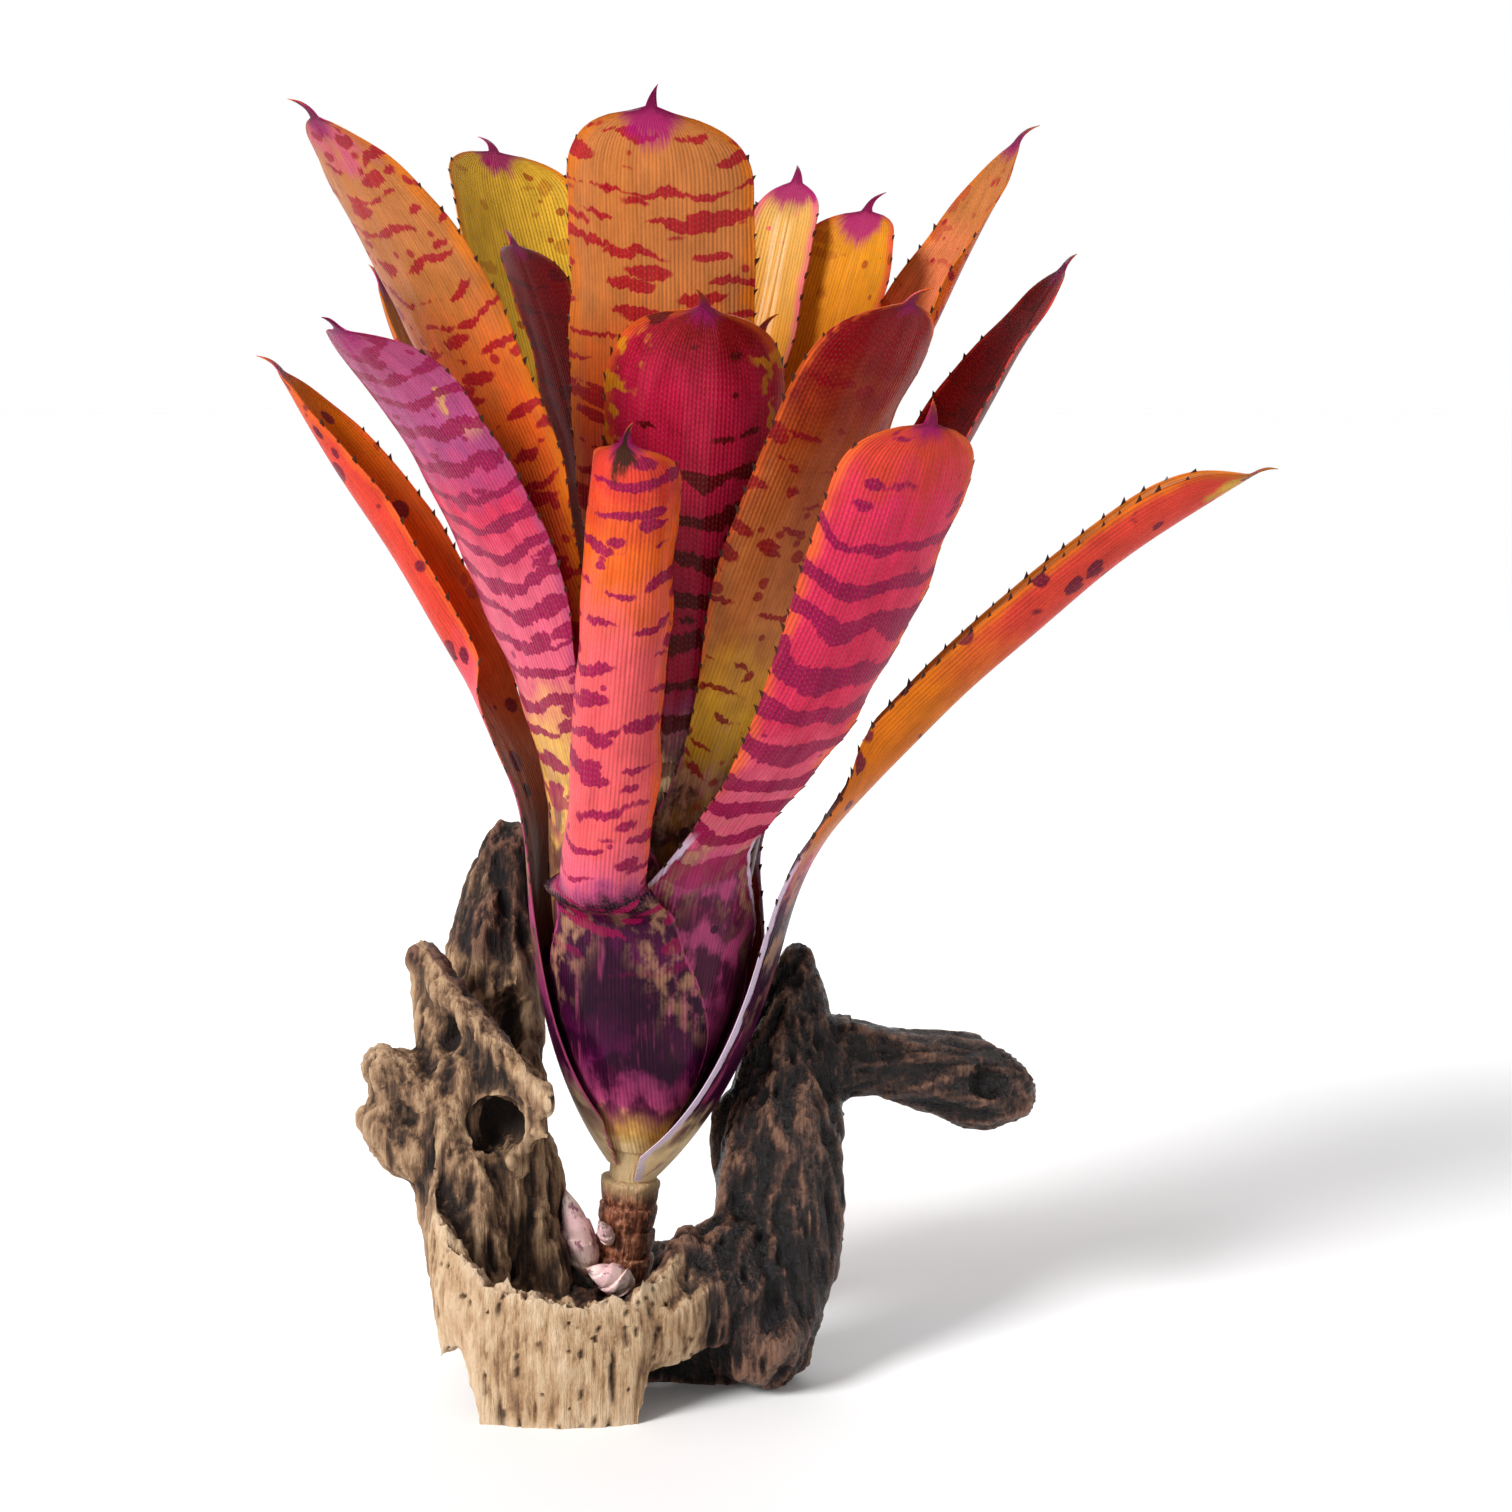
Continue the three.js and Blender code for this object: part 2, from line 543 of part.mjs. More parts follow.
function woodSolid(room) {
  let wood = toSolid(footGeometry());
  WOOD_LIMBS.forEach((points, i) => {
    wood = wood.add(toSolid(limbGeometry(points, i, WOOD_SIDES)));
  });
  WOOD_HOLLOWS.forEach((points, i) => {
    wood = wood.subtract(toSolid(limbGeometry(points, i + HOLLOW_SEED, HOLLOW_SIDES)));
  });
  OFFSHOOTS.forEach((bud) => {
    wood = wood.subtract(toSolid(budGeometry(bud, CLEARANCE)));
  });
  const ground = new THREE.BoxGeometry(GROUND.span, GROUND.span, GROUND.depth);
  ground.translate(0, 0, -GROUND.depth / 2);
  return wood.subtract(room).subtract(toSolid(ground));
}

const plant = new THREE.Group();
plant.position.set(PLANT_BASE.x, PLANT_BASE.y, PLANT_BASE.z);
plant.rotation.y = radians(PLANT_LEAN);
plant.add(piece('stem', stemGeometry().rotateX(Math.PI / 2), BARK));
LEAVES.forEach((leaf, layer) => plant.add(makeLeaf(leaf, layer)));
plant.updateMatrix();

const room = toSolid(plantRoom(CLEARANCE).rotateX(Math.PI / 2).applyMatrix4(plant.matrix));

const assembly = new THREE.Group();
assembly.position.set(-FOOT.x, -FOOT.y, -FOOT.z);
assembly.add(plant);
OFFSHOOTS.forEach((bud) => {
  const solid = toSolid(budGeometry(bud, 0)).subtract(room);
  assembly.add(piece(bud.name, toGeometry(solid), BUD));
});
assembly.add(piece('driftwood', toGeometry(woodSolid(room)), WOOD));

export default assembly;
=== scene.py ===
"""A banded bromeliad on driftwood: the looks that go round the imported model."""
import math

import bpy
import numpy as np
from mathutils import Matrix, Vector, noise


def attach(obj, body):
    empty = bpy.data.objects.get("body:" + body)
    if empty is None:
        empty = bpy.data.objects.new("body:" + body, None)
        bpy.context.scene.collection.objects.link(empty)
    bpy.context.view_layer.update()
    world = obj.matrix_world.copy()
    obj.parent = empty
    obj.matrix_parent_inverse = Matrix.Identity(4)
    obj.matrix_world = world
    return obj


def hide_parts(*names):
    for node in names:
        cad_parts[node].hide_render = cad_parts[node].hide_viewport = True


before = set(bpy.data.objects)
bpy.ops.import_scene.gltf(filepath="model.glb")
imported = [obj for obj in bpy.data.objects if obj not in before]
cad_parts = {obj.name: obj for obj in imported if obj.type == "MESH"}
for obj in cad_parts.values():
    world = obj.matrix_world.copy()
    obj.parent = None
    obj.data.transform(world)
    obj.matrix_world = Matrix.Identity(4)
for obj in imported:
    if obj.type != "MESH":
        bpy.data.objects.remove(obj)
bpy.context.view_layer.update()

MM = 0.001
TURN = 2 * math.pi

# The plant's form, in millimetres and degrees: the same values as in the part's source
FOOT = (-12.0, -38.0, 0.0)
PLANT_BASE = (2.0, 0.0, 45.0)
PLANT_LEAN = 5
CORE_RADIUS = 5.1
CORE_TOP = 58
STEM_RADIUS = 7.1
STEM_BOTTOM = -31
CLEARANCE = 0.35
VASE_FLARE = 30
VASE_RISE = 36
LAYER_PITCH = 1.3
LEAF_THICKNESS = 0.65
MIDLINE_STEPS = 200
SHEATH_WRAP = 1.3
SHEATH_SLACK = 1.08
SPINE_LENGTH = 6
SPINE_HALF_WIDTH = 1.5
SPINE_HOOK = 50
KINK_LENGTH = 26
KINK_LEAD = 0.35
FREE_BELOW = 22
FREE_OVER = 34
NARROW_BELOW = 42
NARROW_OVER = 46
END_ROUNDNESS = 0.55
USUAL_LEAF = dict(lean=20, gain=4, side=0, kink=0, sheath=30, channel=24, roll=0.5, waist=0.8,
                  wide=0.45, taper=0.4, blunt=1.8)

# Fineness of the leaves here: rows and columns of points, and the pitch of rows in millimetres
LEAF_COLUMNS = 34
COLUMN_CROWDING = 1.25
ROW_PITCH = 1.3
SHEATH_ROW_PITCH = 2.4
FINE_FROM = -30
END_ROWS = 26
SPINE_ROWS = 9
SHARP_ANGLE = 52

# Form that only this model has, in millimetres: hooked ends, thin margins, teeth and soft waves
SPINE_BEND = 2.2
LEAST_WIDTH = 0.05
HALF_THICKNESS = 0.33
MARGIN_THINNING = 0.2
POINT_HALF_THICKNESS = 0.06
TOOTH_PITCH = 5.2
TOOTH_HEIGHT = 0.95
TOOTH_BASE = 1.5
TOOTH_ROOT = 0.25
TOOTH_HALF_THICKNESS = 0.2
TOOTHED_SHEATH = 24
# Each wave by its height, its length over a turn, and how far it slants across the leaf
BODY_WAVES = [(0.3, 15, 1.6), (0.18, 7, -2.4)]
MARGIN_WAVES = [(0.35, 5.2, 1), (0.25, 2.9, 0)]
CREASE_DEPTH = 0.35
CREASE_SHARE = 0.07

# The stem's bark and the offshoots' scales, in millimetres
BARK_RING_PITCH = 6
BARK_RING_DEPTH = 0.75
BARK_STEP = 0.5
BARK_TOP = -1.2
BARK_SIDES = 72
OFFSHOOT_ROWS = 60
OFFSHOOT_SIDES = 48
SCALE_TURNS = 3.2
SCALE_LIP = 0.16
OFFSHOOTS = [
    dict(name="offshoot_tall", start=(-7.5, -4.5, 21.5), end=(-13, -5.5, 43), radius=4.2),
    dict(name="offshoot_low", start=(3, -9, 20.5), end=(-8, -11.5, 26), radius=3.8),
    dict(name="offshoot_bud", start=(-2.5, -6, 30), end=(-5, -10.5, 37), radius=2),
]
# An offshoot's outline: how far along it, and its share of the radius there
OFFSHOOT_OUTLINE = [(0.0, 0.12), (0.06, 0.5), (0.2, 0.86), (0.4, 1.0), (0.6, 0.86), (0.8, 0.5),
                    (0.93, 0.2), (1.0, 0.02)]

# The driftwood, in millimetres. The grains say how many waves its noise has a millimetre along
# each axis: fewest along the run of the fibres.
WOOD_VOXEL = 1.0
WOOD_SOFTENING = 16
CUP_CENTRE = (2, 32)
WOOD_RIM = [(-46, 4, 96), (-38, -4, 87), (-26, -12, 76), (-15, -19, 67)]
GROUNDED_BELOW = 0.6
ARM_FROM = 65
UPRIGHT_GRAIN = (0.42, 0.42, 0.06)
ARM_GRAIN = (0.06, 0.42, 0.42)
CRACK_GRAIN = (0.33, 0.33, 0.016)
LUMP_GRAIN = 0.045
LUMP_HEIGHT = 1.8
FOLD_HEIGHT = 1.3
TEAR_DEPTH = 1.3
CRACK_DEPTH = 0.7

# Relief that is left to the materials, in millimetres
LEAF_RELIEF = 0.14
BARK_RELIEF = 0.6
SCALE_RELIEF = 0.2
WOOD_RELIEF = 0.9
RIB_PITCH = 0.9
BEAD_PITCH = 1.3

# Camera: its focal length is in pixels of the photograph, its place in metres
PHOTO_WIDTH = 1512
FOCAL_LENGTH = 2860
SENSOR_WIDTH = 36
CAMERA_PLACE = (0.043, -0.602, 0.245)
CAMERA_DIP = 9.06

# Light, in metres, watts and degrees. The sky is white low down and dims between two heights.
LOOK_AT = Vector((0.0, 0.03, 0.12))
KEY_PLACE = (-0.8, -0.62, 0.8)
KEY_STRENGTH = 3.7
KEY_ANGLE = 22
RIM_PLACE = (0.05, 0.75, 0.85)
RIM_POWER = 4.0
RIM_SIZE = 0.7
SKY_ABOVE = 0.34
SKY_DIMS_FROM = 0.16
SKY_DIMS_TO = 0.4
FLOOR_REACH = 6.0
FLOOR_COLOUR = (0.97, 0.97, 0.97)

# Leaf colours
CREAM = (0.85, 0.62, 0.32)
STRAW = (0.62, 0.33, 0.08)
LEMON = (0.6, 0.33, 0.025)
GOLD = (0.6, 0.22, 0.008)
AMBER = (0.56, 0.13, 0.002)
SAND = (0.52, 0.25, 0.14)
TAN = (0.45, 0.145, 0.036)
OLIVE = (0.22, 0.1, 0.008)
RUSSET = (0.3, 0.045, 0.006)
ORANGE = (0.68, 0.1, 0.012)
PEACH = (0.72, 0.16, 0.08)
SALMON = (0.64, 0.08, 0.09)
ROSE = (0.6, 0.085, 0.15)
HOT_PINK = (0.55, 0.018, 0.07)
CORAL = (0.58, 0.04, 0.024)
RED = (0.32, 0.002, 0.014)
RASPBERRY = (0.45, 0.008, 0.045)
CRIMSON = (0.22, 0.002, 0.007)
MAROON = (0.09, 0.002, 0.004)
BURGUNDY = (0.12, 0.001, 0.022)
FUCHSIA = (0.32, 0.003, 0.11)
MAGENTA = (0.24, 0.001, 0.05)
MAUVE = (0.34, 0.045, 0.13)
ORCHID = (0.36, 0.05, 0.17)
GRAPE = (0.065, 0.003, 0.035)
PLUM = (0.014, 0.001, 0.01)
LILAC = (0.66, 0.52, 0.66)
BROWN = (0.045, 0.013, 0.006)

# The colours that every leaf starts with, on its outer and its inner face
OUTER_FOOT = [(-0.97, CREAM)]
INNER_FOOT = [(-0.97, CREAM), (-0.75, GRAPE)]

# Wood, bark and bud colours, by tone or by place along the bud
DARK_WOOD = [(0.35, (0.004, 0.002, 0.002)), (0.52, (0.018, 0.008, 0.006)),
             (0.66, (0.07, 0.03, 0.018)), (0.84, (0.19, 0.095, 0.058))]
MIDDLE_WOOD = [(0.2, (0.012, 0.006, 0.004)), (0.42, (0.085, 0.045, 0.026)),
               (0.6, (0.25, 0.14, 0.075)), (0.8, (0.45, 0.29, 0.165))]
LIGHT_WOOD = [(0.2, (0.1, 0.05, 0.025)), (0.36, (0.3, 0.17, 0.085)),
              (0.5, (0.47, 0.3, 0.165)), (0.75, (0.63, 0.46, 0.3))]
CRACK_COLOUR = (0.03, 0.014, 0.008)
BARK = [(0.36, (0.012, 0.005, 0.003)), (0.5, (0.1, 0.03, 0.014)), (0.6, (0.3, 0.1, 0.05)),
        (0.72, (0.55, 0.28, 0.16))]
BUD = [(0.0, (0.6, 0.3, 0.15)), (0.25, (0.9, 0.66, 0.58)), (0.7, (0.88, 0.55, 0.55)),
       (0.9, (0.95, 0.8, 0.72)), (1.0, (0.4, 0.17, 0.08))]
BUD_BLOTCH = (0.22, 0.015, 0.09)
BUD_VEIN = (0.35, 0.1, 0.08)

# How a leaf is coloured. outer and inner: colours of its faces from the sheath's start (-1) over
# the neck (0) to the end (1). bars: bands right across, with their pitch in mm, the height of the
# wave above which they show, and how far they break up. fade: how much fewer they are near the
# end. dashes: lens-shaped bands, with the width and height of the field each lies in, and the
# share of fields that have one. spots: round ones, by pitch and share. flush: a margin's colour
# and width. patches: blots of a colour between two places. tip: radius of the end's purple patch.
# rim: width of a lilac margin on the sheath, which is narrow and mauve without it. withered: a
# dry brown end.
LOOKS = {
    "tan": dict(
        outer=[(-0.7, GRAPE), (-0.1, MAUVE), (0.1, ROSE), (0.35, SALMON), (0.5, ORANGE), (0.72, TAN),
               (0.95, TAN)],
        inner=[(0.1, OLIVE), (0.6, TAN), (0.9, GOLD)],
        band=RED, bars=(6.2, 0.8, 0.8), dashes=(15.0, 4.2, 0.8), spots=(5.0, 0.2), flush=(AMBER, 5.0),
        tip=6.5),
    "flame": dict(
        outer=[(-0.7, GRAPE), (-0.1, MAUVE), (0.1, CORAL), (0.5, ORANGE), (0.75, TAN), (0.92, TAN),
               (0.97, ROSE)],
        inner=[(0.1, OLIVE), (0.6, TAN), (0.9, GOLD)],
        band=RED, bars=(7.5, 0.85, 0.6), dashes=(14.0, 4.6, 0.75), spots=(4.5, 0.35),
        flush=(AMBER, 4.0), tip=4.0),
    "magenta": dict(
        outer=[(-0.75, GRAPE), (-0.3, MAUVE), (-0.12, CREAM), (0.02, MAUVE), (0.14, RASPBERRY),
               (0.8, RASPBERRY), (0.96, CRIMSON)],
        inner=[(0.2, ORANGE), (0.9, GOLD)],
        band=MAROON, bars=(9.5, 0.3, 0.6), dashes=(10.0, 4.4, 0.3), fade=1.6, spots=(4.0, 0.1),
        flush=(ORANGE, 3.5), tip=2.5, patches=(GOLD, 0.6, 0.95)),
    # The salmon look's grape and plum stops from -0.15 to 0.07, where the rolled blade leaves its sheath,
    # are painted shadow under the blade's chin.
    "salmon": dict(
        outer=[(-0.9, STRAW), (-0.78, MAUVE), (-0.6, GRAPE), (-0.35, PLUM), (-0.15, GRAPE),
               (0.07, PLUM), (0.12, MAUVE), (0.16, ROSE), (0.25, SALMON), (0.6, SALMON),
               (0.78, ORANGE), (0.93, CORAL)],
        inner=[(0.2, ORANGE), (0.9, ORANGE)],
        band=MAGENTA, bars=(8.0, 0.75, 0.7), dashes=(8.0, 4.2, 0.5), spots=(4.0, 0.15),
        flush=(ORANGE, 4.0), tip=3.0, withered=True),
    "olive": dict(
        outer=[(-0.6, GRAPE), (-0.1, OLIVE), (0.08, LEMON), (0.3, TAN), (0.68, RUSSET),
               (0.88, CRIMSON), (0.95, CRIMSON)],
        inner=[(0.2, OLIVE), (0.9, CRIMSON)],
        band=CRIMSON, bars=(7.0, 1.0, 0.5), dashes=(8.0, 5.0, 0.45), spots=(5.0, 0.8),
        flush=(ORANGE, 2.0), tip=2.0),
    "pink": dict(
        outer=[(-0.75, GRAPE), (-0.4, MAUVE), (-0.12, MAUVE), (0.02, ROSE), (0.2, ROSE),
               (0.4, HOT_PINK), (0.84, HOT_PINK), (0.94, CORAL), (0.98, CORAL)],
        inner=[(0.3, ORANGE), (0.9, ORANGE)],
        band=MAGENTA, bars=(11.0, -0.05, 0.3), dashes=(7.0, 4.0, 0.2), fade=1.1, spots=(4.0, 0.2),
        flush=(ORANGE, 3.5), tip=3.0, rim=1.5),
    "crimson": dict(
        outer=[(-0.6, GRAPE), (0.0, MAUVE), (0.3, CRIMSON), (0.95, CRIMSON)],
        inner=[(0.1, MAUVE), (0.4, CRIMSON), (0.9, CRIMSON)],
        band=MAROON, bars=(8.0, 0.8, 0.5), dashes=(9.0, 5.0, 0.5), spots=(4.0, 0.4),
        flush=(CORAL, 1.5), tip=3.0),
    # The gold and chartreuse looks' yellows are the back leaves' own colour, painted brighter as light
    # shining through them from behind.
    "gold": dict(
        outer=[(-0.6, GRAPE), (0.0, ROSE), (0.4, ORANGE), (0.9, GOLD)],
        inner=[(0.1, TAN), (0.5, AMBER), (0.93, GOLD)],
        band=RUSSET, bars=(9.0, 1.2, 0.6), dashes=(12.0, 5.0, 0.35), spots=(5.0, 0.2),
        flush=(CORAL, 4.0), tip=8.0),
    "chartreuse": dict(
        outer=[(-0.6, GRAPE), (0.0, ROSE), (0.4, ORANGE), (0.9, LEMON)],
        inner=[(0.1, TAN), (0.5, LEMON), (0.93, LEMON)],
        band=RUSSET, bars=(9.0, 1.2, 0.6), dashes=(10.0, 7.0, 0.35), spots=(4.5, 0.3),
        flush=(AMBER, 3.0), tip=6.0),
    "straw": dict(
        outer=[(-0.6, GRAPE), (0.0, ROSE), (0.5, PEACH), (0.9, STRAW)],
        inner=[(0.1, TAN), (0.6, GOLD), (0.95, STRAW)],
        band=SALMON, bars=(9.0, 1.3, 0.6), dashes=(11.0, 7.0, 0.3), spots=(4.0, 0.1),
        flush=(ROSE, 3.0), tip=7.0),
    "orange": dict(
        outer=[(-0.6, GRAPE), (-0.1, MAUVE), (0.15, ROSE), (0.4, ORANGE), (0.8, ORANGE),
               (0.95, RUSSET)],
        inner=[(0.1, TAN), (0.6, PEACH), (0.9, TAN)],
        band=RED, bars=(7.5, 1.0, 0.6), dashes=(9.0, 5.6, 0.5), spots=(4.0, 0.5), flush=(AMBER, 2.5),
        tip=4.0),
    "mauve": dict(
        outer=[(-0.6, GRAPE), (-0.05, STRAW), (0.06, STRAW), (0.22, ROSE), (0.4, ROSE),
               (0.58, HOT_PINK), (0.74, ORCHID), (0.95, MAUVE)],
        inner=[(0.3, ROSE), (0.9, MAGENTA)],
        band=MAGENTA, bars=(7.5, 0.35, 0.6), dashes=(10.0, 4.6, 0.7), spots=(4.0, 0.3),
        flush=(MAUVE, 3.0), tip=6.0, patches=(STRAW, 0.72, 0.9)),
    "maroon": dict(
        outer=[(-0.6, GRAPE), (0.0, MAROON), (0.9, CRIMSON)],
        inner=[(0.2, MAROON), (0.9, CRIMSON)],
        band=PLUM, bars=(8.0, 0.9, 0.5), dashes=(9.0, 6.0, 0.5), spots=(4.0, 0.3),
        flush=(RUSSET, 2.0), tip=3.0),
    "coral": dict(
        outer=[(-0.7, GRAPE), (-0.25, MAUVE), (0.0, MAUVE), (0.12, ROSE), (0.35, CORAL), (0.8, CORAL),
               (0.95, ORANGE)],
        inner=[(0.1, TAN), (0.4, ORANGE), (0.9, AMBER)],
        band=BURGUNDY, bars=(9.0, 1.3, 0.5), dashes=(6.5, 7.0, 0.3), spots=(8.0, 0.85),
        flush=(ORANGE, 2.0), tip=2.0),
    "tawny": dict(
        outer=[(-0.86, CREAM), (-0.7, GRAPE), (-0.25, PLUM), (-0.1, GRAPE), (0.0, ROSE),
               (0.08, AMBER), (0.35, AMBER), (0.6, CORAL), (0.95, CORAL), (0.99, LEMON)],
        inner=[(0.0, MAROON), (0.16, RUSSET), (0.5, TAN), (0.95, TAN)],
        band=BURGUNDY, bars=(11.0, 1.3, 0.5), dashes=(7.0, 8.0, 0.35), spots=(7.5, 0.75),
        flush=(AMBER, 2.5), tip=1.5, rim=1.9),
}

# The leaves from the heart outward, as in the part's source, each with its look
LEAVES = [
    dict(name="leaf_heart", look="magenta", azimuth=-50, neck=104, length=87, width=11, lean=4,
         channel=12, sheath=16, taper=0.5, blunt=1.6),
    dict(name="leaf_left_inner", look="maroon", azimuth=152, neck=104, length=109, width=14, lean=11,
         gain=20, side=-1.5, channel=34, sheath=16, taper=0.12, blunt=3.2),
    dict(name="leaf_back_right_inner", look="straw", azimuth=63, neck=104, length=126, width=9.5,
         lean=7, gain=16, side=1.5, channel=19, sheath=21, taper=0.12, blunt=2.4),
    dict(name="leaf_back_right", look="gold", azimuth=45, neck=103, length=121, width=15.5, lean=14.5,
         gain=1, side=-1, channel=36, sheath=26, taper=0.12, blunt=3.2),
    dict(name="leaf_centre_tall", look="tan", azimuth=-105, neck=104, length=131, width=22, lean=3.5,
         gain=3, side=-3.5, channel=40, sheath=21, waist=0.65, wide=0.6, taper=0.13, blunt=3),
    dict(name="leaf_front_red", look="magenta", azimuth=-82, neck=102, length=98, width=22, lean=12,
         gain=14, side=-4, taper=0.28, blunt=2.6),
    dict(name="leaf_right_olive", look="olive", azimuth=-52, neck=97, length=114, width=17, gain=11,
         side=-0.5, channel=26, sheath=27, waist=0.6, taper=0.25, blunt=2.8),
    dict(name="leaf_right_tall", look="orange", azimuth=22, neck=100, length=147, width=18, lean=15.5,
         gain=9, side=-1, channel=18, sheath=27, waist=0.55, taper=0.46, blunt=1.5),
    dict(name="leaf_back_left", look="chartreuse", azimuth=123, neck=103, length=147, width=19,
         lean=29, gain=5, side=0.5, channel=32, sheath=28, taper=0.12, blunt=2.6),
    dict(name="leaf_left_tall", look="flame", azimuth=-144, neck=98, length=149, width=24, lean=21.5,
         gain=18, side=2, channel=41, sheath=29, waist=0.5, wide=0.55, taper=0.31, blunt=2.1),
    dict(name="leaf_right_crimson", look="crimson", azimuth=20, neck=94, length=132, width=16.5,
         lean=26, gain=2, channel=21, taper=0.41, blunt=2),
    dict(name="leaf_left_back", look="orange", azimuth=163, neck=96, length=111, width=14, lean=26.5,
         gain=1, side=-1, channel=18, sheath=25, waist=0.68, taper=0.43, blunt=1.9),
    dict(name="leaf_left_mauve", look="mauve", azimuth=-143, neck=92, length=113, width=22, lean=20.5,
         gain=26, side=-0.5, channel=38, sheath=27, waist=0.5, wide=0.55, taper=0.2, blunt=2.7),
    dict(name="leaf_right_pink", look="pink", azimuth=-64, neck=84, length=115, width=16.5, lean=54,
         gain=-45, side=5, waist=0.5, wide=0.8, taper=0.14, blunt=2.7),
    dict(name="leaf_front_rolled", look="salmon", azimuth=-109.5, neck=66, length=113, width=15,
         lean=9, gain=0, side=3.7, kink=90, channel=9.8, roll=0.12, sheath=31, waist=0.95, taper=0.1,
         blunt=2.4),
    dict(name="leaf_back", look="orange", azimuth=85, neck=79, length=110, width=17, lean=22,
         channel=18),
    dict(name="leaf_left_low", look="coral", azimuth=164, neck=89, length=108, width=15.5, lean=36,
         gain=3, side=1, channel=10, roll=0.25, sheath=18, taper=0.45, blunt=1.7),
    dict(name="leaf_back_low", look="pink", azimuth=68, neck=76, length=92, width=17, lean=27,
         channel=16),
    dict(name="leaf_right_low", look="tawny", azimuth=-6, neck=78, length=131, width=16, lean=33,
         gain=20, channel=11, roll=0.25, sheath=15, waist=0.95, taper=0.2, blunt=2.2),
]


def smooth(x):
    """A share that eases from 0 to 1 as x does, and stays there."""
    t = np.clip(x, 0, 1)
    return t * t * (3 - 2 * t)


def mix(a, b, t):
    """From a at share 0 to b at share 1."""
    return a + (b - a) * t


def placed(points):
    """Points of the upright plant, at the origin, where the plant stands in the row frame."""
    lean = math.radians(PLANT_LEAN)
    turn = np.array([[math.cos(lean), 0, math.sin(lean)], [0, 1, 0],
                     [-math.sin(lean), 0, math.cos(lean)]])
    return points @ turn.T + np.array(PLANT_BASE) - np.array(FOOT)


def turned(points, degrees):
    a = math.radians(degrees)
    turn = np.array([[math.cos(a), -math.sin(a), 0], [math.sin(a), math.cos(a), 0], [0, 0, 1]])
    return points @ turn.T


def new_piece(name, points, faces, node, material):
    """A smooth-shaded mesh piece from points in millimetres that stands for a CAD node."""
    mesh = bpy.data.meshes.new(name)
    mesh.from_pydata((points * MM).tolist(), [], faces)
    mesh.validate()
    mesh.shade_smooth()
    mesh.set_sharp_from_angle(angle=math.radians(SHARP_ANGLE))
    piece = bpy.data.objects.new(name, mesh)
    bpy.context.scene.collection.objects.link(piece)
    mesh.materials.append(material)
    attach(piece, "root")
    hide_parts(node)
    return piece


def give(piece, name, values):
    """Stores three numbers a point, for the material to read."""
    attribute = piece.data.attributes.new(name, "FLOAT_VECTOR", "POINT")
    attribute.data.foreach_set("vector", np.asarray(values, dtype=np.float32).ravel())


